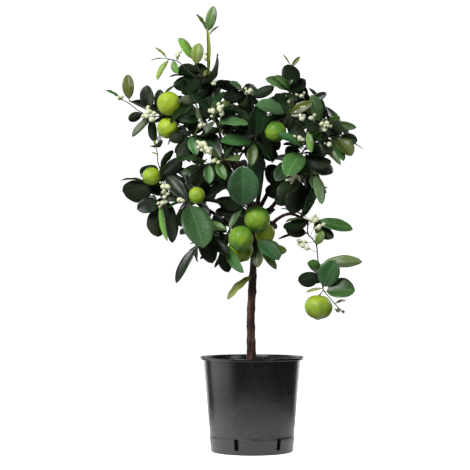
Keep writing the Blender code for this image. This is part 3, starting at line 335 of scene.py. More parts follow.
BACK_TWIGS = {
    "back_left_top": Branch("back_left", 4, [(-86, 60, 756), (-84, 48, 776)]),
    "back_left_outer": Branch("back_left", 2.6, [(-105, 72, 690), (-150, 62, 706), (-192, 44, 708)]),
    "back_left_low": Branch("back_left", 1.2, [(-62, 68, 580), (-108, 72, 560), (-150, 58, 532)]),
    "back_centre": Branch("back_left", 1.9, [(-22, 88, 640), (8, 106, 676), (12, 104, 716)]),
    "back_centre_low": Branch("trunk", 6.5, [(4, 45, 482), (0, 84, 488), (-14, 112, 476)]),
    "back_right_top": Branch("back_right", 4, [(98, 56, 752), (92, 44, 766)]),
    "back_right_outer": Branch("back_right", 2.4, [(134, 68, 690), (170, 52, 700)]),
    "back_right_low": Branch("back_right", 1.3, [(98, 66, 600), (128, 60, 575), (146, 50, 556)]),
}
FILL_COUNTS = {
    "back_left_top": 8, "back_left_outer": 13, "back_left_low": 13, "back_centre": 13,
    "back_centre_low": 11, "back_right_top": 7, "back_right_outer": 12, "back_right_low": 13,
    "left_hanging": 4, "left_outer": 4, "left_outer_upright": 2, "right_edge": 4, "right_fan": 4,
    "left_tip": 3, "centre_top": 4, "right_low": 5, "right_fan_top": 3,
    "centre_right": 6, "left_front_lower": 6, "left_drop": 4,
    "right_upper_front": 4, "right_front": 6, "centre_upper": 6, "left_front": 5,
    "centre_left": 5, "centre_low": 4, "left_low_front": 3,
}

# (height, left, right): the outline that the smaller leaves keep inside, and the notch between its two tops
CROWN_EDGES = [
    (395, -95, 45), (450, -145, 55), (500, -200, 105), (540, -235, 115), (565, -240, 150), (610, -215, 150),
    (650, -195, 200), (700, -200, 195), (745, -180, 145), (775, -140, 120), (795, -120, 95),
]
NOTCH_SIDES = (-58.0, 42.0)
NOTCH_TOP = 756.0

LIMES = {
    "upper_left": Lime((-174, -78, 730), 25.0, 50.0, (0.5, 0.3, 0.8), "left_front", 1.4),
    "upper_left_under": Lime((-177, -58, 681), 22.0, 45.0, (0.8, 0.3, 0.5), "left_front_lower", 1.0),
    "left": Lime((-210, -74, 578), 19.0, 39.0, (0.6, 0.7, 0.3), "left_outer", 1.0),
    "left_inner": Lime((-115, -96, 537), 17.0, 37.0, (0.1, 0.4, 0.9), "centre_left", 2.4),
    "right_inner": Lime((48, -72, 672), 23.0, 46.0, (0.7, 0.4, 0.6), "right_upper_front", 0.8),
    "front": Lime((-24, -95, 448), 26.2, 53.0, (-0.1, 0.9, 0.5), "centre_front", 0.7),
    "low": Lime((-25, -40, 426), 26.4, 53.0, (-0.6, 0.2, 0.8), "centre_low", 0.9),
    "centre": Lime((10, -80, 489), 27.0, 56.0, (-0.3, 0.5, 0.8), "centre_front", 0.4),
    "behind": Lime((27, -41, 461), 21.5, 44.0, (-0.2, 0.3, 0.95), "centre_front", 0.5),
    "hanging": Lime((138, -62, 306), 29.3, 51.0, (0.1, 0.1, 1.0), "right_hanging", 6.2),
    "fruitlet": Lime((-56, -95, 725), 8.7, 20.0, (-0.7, -0.2, 0.3), "centre_upper", 2.7),
}

BUDS = [
    (-279, -54, 744), (-217, -70, 713), (-205, -72, 710), (-222, -66, 705), (-210, -70, 697),
    (-194, -74, 693), (-158, -34, 840), (-228, -78, 568), (-185, -84, 556), (-176, -82, 556),
    (-182, -84, 534), (-187, -86, 522), (-150, -100, 527), (-106, -122, 642), (-99, -124, 640),
    (-94, -124, 630), (-89, -124, 623), (-104, -120, 622), (-112, -118, 615), (-91, -128, 601),
    (-80, -128, 605), (-59, -136, 601), (-81, -120, 709), (-68, -120, 715), (-63, -122, 703),
    (-88, -118, 694), (-107, -110, 680), (-10, -30, 758), (-3, -34, 763), (4, -34, 756),
    (11, -30, 762), (-86, -112, 547), (-65, -112, 543), (-81, -38, 778), (-97, -20, 835),
    (73, -50, 763), (104, -50, 749), (83, -56, 742), (121, -70, 728), (102, -66, 724),
    (93, -66, 707), (104, -70, 699), (123, -70, 700), (159, -66, 707), (172, -62, 700),
    (156, -66, 689), (146, -72, 678), (99, -90, 656), (103, -100, 635), (133, -96, 628),
    (161, -66, 645), (112, -100, 622), (81, -90, 571), (88, -92, 578), (150, -84, 593),
    (143, -84, 573), (114, -84, 575), (122, -84, 583), (125, -50, 490), (137, -50, 490),
    (140, -52, 473), (86, -44, 435), (101, -44, 439), (106, -44, 434), (179, -60, 299),
]
BUD_RADIUS = 4.0

FRONT_AND_UP = Vector((0.0, -0.8, 0.6))
THICKET_TOWARD = Vector((-0.2, -1.0, 0.4))
BACKWARD = Vector((0.0, 1.0, 0.0))
UPWARD = Vector((0.0, 0.0, 1.0))

# Along a leaf: how far from its base, and how wide there, as shares; 0.0 is the petiole's own width
LEAF_STATIONS = ((0.0, 0.0), (0.13, 0.0), (0.38, 0.96), (0.72, 0.8), (1.0, 0.0))
SMALL_STATIONS = ((0.0, 0.0), (0.13, 0.0), (0.5, 1.0), (1.0, 0.0))
SMALL_LEAF = 18.0
LEAF_FOLD = 0.22
LEAF_ARCH = 0.07
GOLDEN_ANGLE = math.radians(137.5)

# Fine stems: a tube's resolution, and the cuts to a span
TRUNK_FINE = (10, 12)
LIMB_FINE = (4, 8)
TWIG_FINE = (2, 6)
# Where the trunk swells, as (height, by how much), and how far up and down each swelling reaches
KNOTS = ((232.0, 1.1), (262.0, 0.6), (301.0, 0.9), (338.0, 1.2), (372.0, 1.3), (415.0, 1.0), (462.0, 1.4))
KNOT_REACH = 5.0
NODE_SWELL = 0.45
NODE_REACH = 2.2

# Small leaves close round the stems, near-black with painted shade, that the part has no triangles left for:
# how many on each
THICKET = {
    "centre_right": 8, "right_low": 8, "right_front": 6, "left_low_front": 6, "left_front_lower": 5,
    "centre_left": 5, "centre_upper": 6, "left_front": 6, "centre_low": 5, "left_drop": 4,
    "right_upper_front": 6, "centre_top": 4, "left_hanging": 3, "left_outer": 3, "right_fan": 3,
    "centre_front": 3, "back_centre": 6, "back_left_low": 5, "back_right_low": 6,
    "back_centre_low": 4, "back_left_outer": 4, "back_right_outer": 4, "back_left_top": 3,
    "back_right_top": 3,
}
# More of them, each put behind what shows
THICKET_PLACED = {
    "centre_right": [(2.6, 10, -52, 566, 30, 15), (2.2, -14, -40, 588, 26, -20)],
    "right_front": [(1.0, 60, -30, 664, 28, 20), (0.8, 50, -34, 614, 24, -15)],
    "right_low": [(0.7, 44, -20, 496, 30, 10), (1.6, 158, -30, 560, 28, 20)],
    "left_front_lower": [(1.2, -150, -40, 512, 28, 10), (0.8, -84, -30, 510, 30, 0)],
    "left_front": [(1.2, -146, -20, 606, 26, 10)],
    "crown_left_inner": [(0.2, -68, 0, 824, 34, 20)],
}
THICKET_LENGTH = (46.0, 70.0)
THICKET_SEED = 23

# Fine leaves, in millimetres, or as shares of the leaf's length where they bend it
LEAF_SLIMS = (1.0, 0.88, 0.76, 0.64, 0.52)
PETIOLE_BARE = 0.2
PETIOLE_SHARE = 0.1
BROAD_LEAF = 58.0
LEAF_ACROSS = 6
LEAF_ALONG = 15
LEAF_SKIN = 0.4
LEAF_WAVE = (0.004, 0.022)
LEAF_WAVES = (2.2, 3.4)
LEAF_SICKLE = 0.015
LEAF_CURL = 0.05
CURL_FROM = 0.55
LEAF_TWIST = 0.14
LEAF_FOLDS = (0.7, 1.5)
MIDRIB_SUNK = 0.3
MIDRIB_WIDTH = 0.16
LEAF_SEED = 5

# Fine buds and limes, in millimetres, or as shares of the lime's radius
BUD_SIZES = (4.6, 6.2)
SIDE_BUD_SIZES = (2.6, 4.6)
SIDE_BUD_REACH = (8.0, 12.5)
SIDE_BUDS = (1, 2, 2, 3)
LIME_SPINS = 48
LIME_RINGS = 30
LIME_FURROWS = 9
LIME_FURROW = 0.012
LIME_LUMPS = 0.018
LIME_DIMPLE = 0.075
LIME_NIPPLE = 0.075
CALYX_SHARE = 0.19
CALYX_LEAST = 1.8
CALYX_SEAT = 0.475

# Leaf colours, linear, each as the upper side's colour and how much it varies. The dark, inner and thicket
# colours are near-black painted shade; the pale and grey colours are the leaf's own tone and partly painted
# sheen.
LEAF_TONES = {
    "young": ((0.25, 0.37, 0.055), 0.15),
    "bright": ((0.17, 0.34, 0.055), 0.15),
    "mid": ((0.048, 0.150, 0.028), 0.20),
    "pale": ((0.115, 0.215, 0.068), 0.15),
    "grey": ((0.075, 0.125, 0.050), 0.20),
    "olive": ((0.090, 0.140, 0.020), 0.20),
    "matte": ((0.085, 0.175, 0.070), 0.05),
    "gloss": ((0.050, 0.130, 0.043), 0.08),
    "dark": ((0.0065, 0.018, 0.004), 0.30),
    "inner": ((0.009, 0.030, 0.006), 0.45),
    "thicket": ((0.009, 0.030, 0.006), 0.45),
}
# The kinds whose near-black colour is painted shade
SHADE_PAINTED_KINDS = ("dark", "inner", "thicket")
REDDER = 0.25  # how much more a leaf's red varies
BACK_SHADE_LIFT = 2.6  # how much less painted shade a near-black leaf gets where its upper side faces the back
PAINTED_HALF_SHADE = (0.15, 0.42)  # painted shade: how much lighter one half of a leaf is than the other
BUD_CREAM = (0.90, 0.93, 0.66)
BUD_GREEN = (0.30, 0.38, 0.12)
TWIG_BROWN = (0.040, 0.026, 0.016)
TWIG_GREEN = (0.060, 0.100, 0.022)
# How ripe each lime is, from green to yellow
LIME_TINTS = {
    "upper_left": 1.0, "upper_left_under": 1.0, "left": 0.7, "left_inner": 0.62, "right_inner": 0.25,
    "front": 0.28, "low": 0.85, "centre": 0.25, "behind": 0.95, "hanging": 0.7, "fruitlet": 0.1,
}

# The studio, in metres
CAMERA_PLACE = (-0.036, -2.95, 0.345)
CAMERA_TARGET = (-0.036, 0.0, 0.4586)
CAMERA_LENS = 106.0
CAMERA_SENSOR = 36.0
ROOM_RADIUS = 9.0
ROOM_ROUND = 3.0
ROOM_HEIGHT = 14.0
ROOM_PEAK = 16.0
FLOOR_GLOW = 1.0
CARD_RADIUS = 0.42
CARD_GLOW = 0.7
SURROUND = 0.07
# Each light: its place, what it points at, its width and height, and its power
LIGHTS = {
    "key": ((-1.3, -2.3, 2.4), (0.0, 0.0, 0.5), (1.3, 1.3), 90.0),
    "fill": ((2.0, -2.2, 1.2), (0.0, 0.0, 0.4), (1.0, 1.6), 14.0),
    "side_panel": ((-1.8, -0.25, 0.15), (0.0, 0.0, 0.1), (2.3, 0.8), 11.0),
    "edge_left": ((-1.0, 2.0, 0.15), (0.0, 0.0, 0.1), (0.9, 0.7), 4.0),
    "edge_right": ((1.0, 2.0, 0.15), (0.0, 0.0, 0.1), (0.9, 0.7), 4.0),
    "back_left": ((-1.9, 1.9, 1.6), (0.0, 0.0, 0.5), (1.2, 1.6), 26.0),
    "back_right": ((1.9, 1.9, 1.6), (0.0, 0.0, 0.5), (1.2, 1.6), 26.0),
}

# What stands so far: the part's own shapes, and the fine limes and blades
STANDING = []
FINE_SHAPES = []


def blend_colour(first, second, share):
    return tuple(a + (b - a) * share for a, b in zip(first, second))


def clamped(value, low=0.0, high=1.0):
    return min(max(value, low), high)


def scattered(chance, *ranges):
    """A random direction, with each of its three parts from its own range."""
    return Vector([chance.uniform(*ends) for ends in ranges]).normalized()


def add_object(name, data):
    """A new object in the scene, holding this mesh, curve, light or camera."""
    obj = bpy.data.objects.new(name, data)
    bpy.context.scene.collection.objects.link(obj)
    return obj


def add_piece(name, mesh, slot, *materials):
    """A finished piece: smooth, at the origin, riding on the root body."""
    obj = add_object(name, mesh)
    for material in materials:
        mesh.materials.append(material)
    for polygon in mesh.polygons:
        polygon.use_smooth = True
    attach(obj, "root")
    return obj


def baked(obj):
    """The object's mesh with its modifiers applied; the object itself goes."""
    bpy.context.view_layer.update()
    mesh = bpy.data.meshes.new_from_object(obj.evaluated_get(bpy.context.evaluated_depsgraph_get()))
    bpy.data.objects.remove(obj, do_unlink=True)
    return mesh


def mesh_of(name, bm):
    mesh = bpy.data.meshes.new(name)
    bmesh.ops.recalc_face_normals(bm, faces=bm.faces)
    bm.to_mesh(mesh)
    bm.free()
    return mesh


def toned_bmesh(mesh=None):
    """A new bmesh, with the mesh in it if there is one, whose points carry a colour named tone."""
    bm = bmesh.new()
    if mesh:
        bm.from_mesh(mesh)
    bm.verts.layers.float_color.get("tone") or bm.verts.layers.float_color.new("tone")
    return bm


def tone_layer(bm):
    return bm.verts.layers.float_color["tone"]


def paint(bm, verts, colour):
    layer = tone_layer(bm)
    for vert in verts:
        vert[layer] = (*colour, 1.0)


def spun(profile, steps):
    """A closed shape turned about Z from (radius, height) points that start and end on the axis."""
    bm = bmesh.new()
    verts = [bm.verts.new((radius * MM, 0.0, height * MM)) for radius, height in profile]
    edges = [bm.edges.new(pair) for pair in zip(verts, verts[1:])]
    bmesh.ops.spin(
        bm, geom=verts + edges, cent=(0, 0, 0), axis=(0, 0, 1), dvec=(0, 0, 0), angle=math.tau,
        steps=steps, use_merge=True, use_normal_flip=False, use_duplicate=False,
    )
    bmesh.ops.remove_doubles(bm, verts=bm.verts, dist=MERGE)
    return bm


def bevelled(bm, offset, segments):
    """Rounds every edge, by an offset in millimetres."""
    bmesh.ops.bevel(
        bm, geom=list(bm.edges), offset=offset * MM, segments=segments, profile=0.5,
        affect="EDGES", material=-1,
    )


# Shapes, and whether they cross


def shape_of(bm, base=None, bare=0.0):
    """A mesh's box and search tree, in millimetres, without the faces nearer than bare to the base."""
    bm.verts.index_update()
    points = [v.co / MM for v in bm.verts]
    faces = [[v.index for v in face.verts] for face in bm.faces]
    used = points
    if base is not None:
        faces = [face for face in faces if min((points[k] - base).length for k in face) > bare]
        used = [points[k] for face in faces for k in face]
    low = [min(p[k] for p in used) for k in range(3)]
    high = [max(p[k] for p in used) for k in range(3)]
    return Shape(low, high, BVHTree.FromPolygons(points, faces))


def cross(first, second):
    if any(first.low[k] > second.high[k] or first.high[k] < second.low[k] for k in range(3)):
        return False
    return bool(first.tree.overlap(second.tree))


def place(owner, kind, bm):
    """Adds a shape to the part's own that stand."""
    STANDING.append(Placed(owner, kind, shape_of(bm)))
    bm.free()


def place_mesh(owner, kind, mesh):
    bm = bmesh.new()
    bm.from_mesh(mesh)
    bpy.data.meshes.remove(mesh)
    place(owner, kind, bm)


def stands_clear(bm, owner, skipped=("stem",)):
    """Whether a shape crosses nothing but the skipped kinds of its own shoot."""
    shape = shape_of(bm)
    return not any(
        cross(shape, other.shape) for other in STANDING
        if other.owner != owner or other.kind not in skipped
    )


# Fine leaves


def leaf_frame(base, tip, roll, toward):
    """The way from a leaf's base to its tip, the way that its upper side faces, and the way across it."""
    axis = tip - base
    along = axis.normalized()
    face = (toward - along * toward.dot(along)).normalized()
    face.rotate(Matrix.Rotation(math.radians(roll), 3, along))
    return axis, face, along.cross(face)


def blade_width(share):
    """The half width of the blade at a share of its length, from 0 to 1."""
    if share <= 0.0 or share >= 1.0:
        return 0.0
    return (4 * share * (1 - share)) ** (0.50 + 0.13 * share)


def add_fine_leaf(bm, leaf, slim, chance):
    """One leaf as a curved grid: a thin petiole, a folded blade with a sunk midrib and a wavy edge."""
    axis, face, side = leaf_frame(leaf.base, leaf.tip, leaf.roll, leaf.toward)
    length = axis.length
    wave, phase, waves = chance.uniform(*LEAF_WAVE), chance.uniform(0, 6.3), chance.uniform(*LEAF_WAVES)
    sickle, curl = chance.uniform(-LEAF_SICKLE, LEAF_SICKLE), chance.uniform(0.0, LEAF_CURL)
    twist = chance.uniform(-LEAF_TWIST, LEAF_TWIST)
    fold = LEAF_FOLD * chance.uniform(*LEAF_FOLDS)
    base_colour, spread = LEAF_TONES[leaf.kind]
    colour = [c * (1 + chance.uniform(-spread, spread)) for c in base_colour]
    colour[0] *= 1 + chance.uniform(-REDDER, REDDER)
    # An upper side that faces the back gets less of the near-black painted shade; its under side keeps it
    # through the tone's alpha
    under_shade_keep = 1.0
    if face.y > 0.1 and leaf.kind in SHADE_PAINTED_KINDS:
        colour = [c * BACK_SHADE_LIFT for c in colour]
        under_shade_keep = 1.0 / BACK_SHADE_LIFT
    half_shade = chance.choice((-1, 1)) * chance.uniform(*PAINTED_HALF_SHADE)
    broad = min(leaf.width, BROAD_LEAF + (leaf.width - BROAD_LEAF) * 0.5)

    verts = bmesh.ops.create_grid(bm, x_segments=LEAF_ACROSS, y_segments=LEAF_ALONG, size=1.0)["verts"]
    tone = tone_layer(bm)
    uv = bm.loops.layers.uv["leaf"]
    for loop in (loop for vert in verts for loop in vert.link_loops):
        loop[uv].uv = (loop.vert.co.x * 0.5 + 0.5, loop.vert.co.y * 0.5 + 0.5)
    for vert in verts:
        across, share = vert.co.x, (vert.co.y + 1) / 2
        bow = 4 * share * (1 - share)
        inner = (share - PETIOLE_SHARE) / (1 - PETIOLE_SHARE)
        petiole = PETIOLE_WIDTH / 2 * min(1.0, (1 - share) * 12)
        half = max(broad * slim / 2 * blade_width(inner), petiole)
        ripple = math.sin(waves * math.tau * share + phase + (across > 0) * 1.9)
        lift = LEAF_ARCH * length * bow + fold * half * abs(across) ** 1.3
        lift += wave * length * ripple * across**2 * 4 * max(0.0, inner) * (1 - share)
        lift -= curl * length * max(0.0, share - CURL_FROM) ** 2 * 2
        lift -= MIDRIB_SUNK * math.exp(-((across / MIDRIB_WIDTH) ** 2)) * (inner > 0)
        turned = side * math.cos(twist * share) + face * math.sin(twist * share)
        point = leaf.base + axis * share + turned * (half * across) + face * lift
        vert.co = (point + side * (sickle * length * bow)) * MM
        # Painted shade: one half of the blade lighter than the other, as light falls on a fold, and the base
        # darker, as in its neighbours' shadow
        shade = (1 + half_shade * math.tanh(across * 3)) * (0.68 + 0.42 * min(share * 1.6, 1.0))
        vert[tone] = (*(c * shade for c in colour), under_shade_keep)
    tips = [v for v in verts if (v.co / MM - leaf.tip).length < length * 0.06 and v.is_boundary]
    bmesh.ops.remove_doubles(bm, verts=tips, dist=0.08 * MM)


def clear_leaf(leaf, chance):
    """The leaf's mesh at its full width, or narrower where it would cross a lime or a leaf before it."""
    state = chance.getstate()
    bare = (leaf.tip - leaf.base).length * PETIOLE_BARE
    for slim in LEAF_SLIMS:
        chance.setstate(state)
        bm = toned_bmesh()
        bm.loops.layers.uv.new("leaf")
        add_fine_leaf(bm, leaf, slim, chance)
        shape = shape_of(bm, leaf.base, bare)
        crossing = any(cross(shape, other) for other in FINE_SHAPES)
        if not crossing or (slim == LEAF_SLIMS[-1] and leaf.kind != "thicket"):
            FINE_SHAPES.append(shape)
            mesh = bpy.data.meshes.new("scrap")
            bm.to_mesh(mesh)
            bm.free()
            return mesh
        bm.free()
    return None


def clear_leaves(leaves, chance):
    """Every leaf's mesh by shoot. The thicket comes last, so that it gives way to the rest."""
    meshes = {name: [] for name in leaves}
    for thicket in (False, True):
        for name, grown in leaves.items():
            for leaf in grown:
                if (leaf.kind == "thicket") == thicket:
                    meshes[name].append(clear_leaf(leaf, chance))
    return {name: [mesh for mesh in made if mesh] for name, made in meshes.items()}


def make_leaves(name, meshes):
    """The shoot's leaves as one piece, with their upper side out and a skin's thickness under it."""
    bm = toned_bmesh()
    bm.loops.layers.uv.new("leaf")
    for leaf in meshes:
        bm.from_mesh(leaf)
        bpy.data.meshes.remove(leaf)
    mesh = bpy.data.meshes.new("leaves_" + name)
    bm.to_mesh(mesh)
    bm.free()
    skin = add_piece("leaves_" + name, mesh, "leaf", LEAF_TOP, LEAF_UNDER).modifiers.new("skin", "SOLIDIFY")
    skin.thickness = LEAF_SKIN * MM
    skin.offset = -1.0
    skin.material_offset = 1


# Fine stems


def fine_path(path, cuts):
    """The same path with more points, for a smoother tube."""
    chosen = path.points[:: path.cuts]
    points = smoothed(chosen, cuts)
    last = len(chosen) - 1
    radii = [spot(path, last * k / (len(points) - 1))[1] for k in range(len(points))]
    return points, radii


def roughen(mesh, amount, grain, lengthwise):
    """Pushes the points in and out along their normals by a noise drawn out along the stem."""
    bm = bmesh.new()
    bm.from_mesh(mesh)
    bm.normal_update()
    for vert in bm.verts:
        x, y, z = vert.co / MM * grain
        push = noise.fractal(Vector((x, y, z * lengthwise)), 0.6, 2.2, 4) * amount
        vert.co = vert.co + vert.normal * push * MM
    bm.to_mesh(mesh)
    bm.free()


def paint_along(mesh, start, end, first, second):
    """Colours a stem from its base to its tip."""
    bm = toned_bmesh(mesh)
    tone = tone_layer(bm)
    way = (end - start) * MM
    for vert in bm.verts:
        share = clamped((vert.co - start * MM).dot(way) / way.length_squared)
        vert[tone] = (*blend_colour(first, second, share), 1.0)
    bm.to_mesh(mesh)
    bm.free()


def make_bark(name, node, path, fine, rough):
    """A trunk or a limb, rough along its grain."""
    points, radii = path
    mesh = tube_mesh(name, points, radii, fine)
    roughen(mesh, *rough)
    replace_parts(add_piece(name, mesh, "bark", BARK), node)


def make_trunk(path):
    points, radii = fine_path(path, TRUNK_FINE[1])
    for index, point in enumerate(points):
        radii[index] += sum(
            size * math.exp(-(((point.z - height) / KNOT_REACH) ** 2)) for height, size in KNOTS
        )
    make_bark("trunk_bark", "trunk", (points, radii), TRUNK_FINE[0], (0.9, 0.16, 0.22))


def make_limb(name, path):
    fine = fine_path(path, LIMB_FINE[1])
    make_bark("limb_bark_" + name, "limb_" + name, fine, LIMB_FINE[0], (0.5, 0.2, 0.4))


def make_twig(name, path, leaves, stalks):
    """A twig, swollen a little where each leaf leaves it, with the fruit stalks that grew on it."""
    points, radii = fine_path(path, TWIG_FINE[1])
    for index, point in enumerate(points):
        near = min([(point - leaf.base).length for leaf in leaves] + [99.0])
        radii[index] += NODE_SWELL * math.exp(-((near / NODE_REACH) ** 2))
    mesh = tube_mesh("twig_" + name, points, radii, TWIG_FINE[0])
    green = TWIG_GREEN if name not in BACK_TWIGS else blend_colour(TWIG_BROWN, TWIG_GREEN, 0.5)
    paint_along(mesh, points[0], points[-1], TWIG_BROWN, green)
    bm = bmesh.new()
    bm.from_mesh(mesh)
    for start, end in stalks:
        along = [start, start.lerp(end, 0.5), start.lerp(end, 0.9), end]
        stalk = tube_mesh("scrap", along, [1.1, 1.0, 1.3, 2.2], 2)
        paint_along(stalk, start, end, TWIG_GREEN, TWIG_GREEN)
        bm.from_mesh(stalk)
        bpy.data.meshes.remove(stalk)
    bm.to_mesh(mesh)
    bm.free()
    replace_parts(add_piece("twig_" + name, mesh, "leaf", TWIG), "shoot_" + name)


# Fine buds


def add_bud(bm, root, centre, size, open_share):
    """A waxy ovoid bud in a small green cup, on its stalk."""
    way = (centre - root).normalized()
    turn = way.to_track_quat("Z", "Y").to_matrix().to_4x4()
    matrix = Matrix.Translation(centre * MM) @ turn
    bud = bmesh.ops.create_uvsphere(bm, u_segments=10, v_segments=6, radius=size * MM)["verts"]
    for vert in bud:
        height = vert.co.z / (size * MM)
        slim = 1 - 0.16 * height
        vert.co = Vector((vert.co.x * slim, vert.co.y * slim, vert.co.z * 1.25))
        shade = clamped((height + 1.05) * 6.0)
        vert[tone_layer(bm)] = (*blend_colour(BUD_GREEN, BUD_CREAM, shade * open_share), 1.0)
    bmesh.ops.transform(bm, matrix=matrix, verts=bud)
    cup = bmesh.ops.create_cone(
        bm, cap_ends=True, segments=6, radius1=size * 0.2 * MM, radius2=size * 0.42 * MM,
        depth=size * 0.4 * MM, matrix=matrix @ Matrix.Translation((0, 0, -size * 1.05 * MM)),
    )["verts"]
    paint(bm, cup, BUD_GREEN)
    paint(bm, add_rod(bm, root, centre - way * size, BUD_STALK_RADIUS), BUD_GREEN)


def make_buds(name, buds, chance):
    """Each bud of the shoot with a few smaller ones round it."""
    bm = toned_bmesh()
    for centre, root in buds:
        add_bud(bm, root, centre, chance.uniform(*BUD_SIZES), 1.0)
        fork = root.lerp(centre, 0.45)
        for _ in range(chance.choice(SIDE_BUDS)):
            out = scattered(chance, (-1, 1), (-1, 0.6), (-0.6, 1))
            small = centre + out * chance.uniform(*SIDE_BUD_REACH)
            add_bud(bm, fork, small, chance.uniform(*SIDE_BUD_SIZES), chance.uniform(0.7, 1.0))
    add_piece("buds_" + name, mesh_of("buds_" + name, bm), "leaf", BUD)


# Fine limes


def hump(distance, reach):
    """1 at no distance, and next to nothing past twice the reach."""
    return math.exp(-((distance / reach) ** 2))


def make_fine_lime(name, lime):
    """A lime: a dimple at the stem end with its green star, shallow furrows and a nipple at the other end."""
    phase = random.Random(name).uniform(0, 6.3)
    half = lime.length / 2
    bm = toned_bmesh()
    verts = bmesh.ops.create_uvsphere(bm, u_segments=LIME_SPINS, v_segments=LIME_RINGS, radius=1.0)["verts"]
    tone = tone_layer(bm)
    for vert in verts:
        height = vert.co.z
        turn = math.atan2(vert.co.y, vert.co.x)
        polar = math.acos(clamped(height, -1.0))
        from_tip = math.pi - polar
        out = 1.0 + LIME_FURROW * math.cos(LIME_FURROWS * turn + phase) * math.sin(polar) ** 2
        out += LIME_LUMPS * noise.noise(vert.co * 1.7 + Vector((lime.radius, 0, 0)))
        place = vert.co * out * lime.radius
        place.z = (height * out - LIME_DIMPLE * hump(polar, 0.30) * 1.2) * half
        if height < 0:
            place.z -= (LIME_NIPPLE * hump(from_tip, 0.20) - 0.02 * hump(from_tip - 0.34, 0.16)) * half
        patch = noise.noise(vert.co * 1.1 + Vector((phase * 3, 1.0, 0)))
        yellow = clamped(LIME_TINTS[name] + patch * 0.55 + 0.1 * height)
        vert[tone] = (yellow, min(hump(polar, 0.5) + hump(from_tip, 0.3), 1.0), 0.0, 1.0)
        vert.co = place * MM
    bmesh.ops.transform(bm, matrix=lime_matrix(lime), verts=verts)
    FINE_SHAPES.append(shape_of(bm))
    skin = LIME if name != "fruitlet" else FRUITLET
    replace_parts(add_piece("fruit_" + name, mesh_of("fruit_" + name, bm), "lime", skin), "lime_" + name)
    make_calyx(name, lime)


def make_calyx(name, lime):
    """The small five-pointed star that holds the fruit to its stalk."""
    bm = toned_bmesh()
    size = max(lime.radius * CALYX_SHARE, CALYX_LEAST)
    star = bmesh.ops.create_cone(
        bm, cap_ends=True, segments=10, radius1=size * MM, radius2=size * 0.45 * MM, depth=size * 0.5 * MM,
    )["verts"]
    for vert in star:
        turn = round(math.degrees(math.atan2(vert.co.y, vert.co.x)) / 36)
        if turn % 2 and vert.co.z < 0:
            vert.co.x *= 0.6
            vert.co.y *= 0.6
    bevelled(bm, size * 0.05, 1)
    seat = Matrix.Translation((0, 0, lime.length * CALYX_SEAT * MM))
    bmesh.ops.transform(bm, matrix=lime_matrix(lime) @ seat, verts=bm.verts)
    paint(bm, bm.verts, BUD_GREEN)
    add_piece("calyx_" + name, mesh_of("calyx_" + name, bm), "leaf", TWIG)


# Pot and soil


def arc(centre, radius, start, end, steps):
    """Points of an arc in the (radius, height) plane, angles in degrees."""
    angles = [math.radians(start + (end - start) * k / steps) for k in range(steps + 1)]
    return [(centre[0] + radius * math.cos(a), centre[1] + radius * math.sin(a)) for a in angles]


def outer_radius(height):
    share = height / (POT_HEIGHT - RIM_DEPTH)
    return BASE_RADIUS + (RIM_RADIUS - RIM_OVERHANG - BASE_RADIUS) * share


def inner_wall():
    """(radius, height) down the inside of the pot, from under the rim to the middle of its floor."""
    web_top = STEP_HEIGHT + 4.0
    below_rim = POT_HEIGHT - 10.0
    return [
        (outer_radius(below_rim) - WALL, below_rim),
        (outer_radius(web_top) - WALL, web_top),
        (BASE_RADIUS - WALL - CORNER_WEB, FLOOR),
        (0.0, FLOOR),
    ]


def fine_pot_profile():
    """(radius, height) up the inside of the pot, over its rim, down its wall and step, and under its base."""
    inner_rim = RIM_RADIUS - RIM_OVERHANG - WALL
    under_rim = POT_HEIGHT - RIM_DEPTH
    step = outer_radius(STEP_HEIGHT) + STEP_OUT
    outside = [
        (inner_rim + 0.2, POT_HEIGHT - 1.2), (inner_rim + 0.6, POT_HEIGHT - 0.4),
        (inner_rim + 1.4, POT_HEIGHT),
        *arc((RIM_RADIUS - RIM_ROUND, POT_HEIGHT - RIM_ROUND), RIM_ROUND, 90, 0, 5),
        *arc((RIM_RADIUS - RIM_UNDER_ROUND, under_rim + RIM_UNDER_ROUND), RIM_UNDER_ROUND, 0, -90, 4),
        (outer_radius(under_rim) + 0.6, under_rim), (outer_radius(under_rim) + 0.1, under_rim - 0.6),
    ]
    for height in range(int(under_rim) - 8, int(STEP_HEIGHT) + 4, -12):
        outside.append((outer_radius(height), float(height)))
    outside += [
        (outer_radius(STEP_HEIGHT + 3.2), STEP_HEIGHT + 3.2),
        (outer_radius(STEP_HEIGHT + 2.4) + 0.12, STEP_HEIGHT + 2.4),
        (step - 0.5, STEP_HEIGHT + 0.4), (step - 0.15, STEP_HEIGHT - 0.6), (step - 0.3, STEP_HEIGHT - 3.0),
        (BASE_RADIUS + 1.2, 9.0),
        *arc((BASE_RADIUS - 1.6, BASE_ROUND), BASE_ROUND, 10, -90, 5),
    ]
    return inner_wall()[::-1] + outside + [(0.0, 0.0)]


def slot_cutter():
    """The blocks that cut the drainage slots through the corner between the pot's wall and floor."""
    bm = bmesh.new()
    inside = BASE_RADIUS - WALL - CORNER_WEB - 4.0
    outside = BASE_RADIUS + 10.0
    for k in range(SLOT_COUNT):
        turn = Matrix.Rotation(math.radians(-90.0 + SLOT_TURN + 360.0 * k / SLOT_COUNT), 4, "Z")
        for vert in bmesh.ops.create_cube(bm, size=1.0)["verts"]:
            radius, sill = (outside, SLOT_BOTTOM) if vert.co.x > 0 else (inside, SLOT_BOTTOM + SLOT_SLOPE)
            height = SLOT_TOP if vert.co.z > 0 else sill
            vert.co = turn @ Vector((radius, vert.co.y * SLOT_WIDTH, height)) * MM
    bevelled(bm, SLOT_ROUND, 2)
    return mesh_of("slot_cutter", bm)


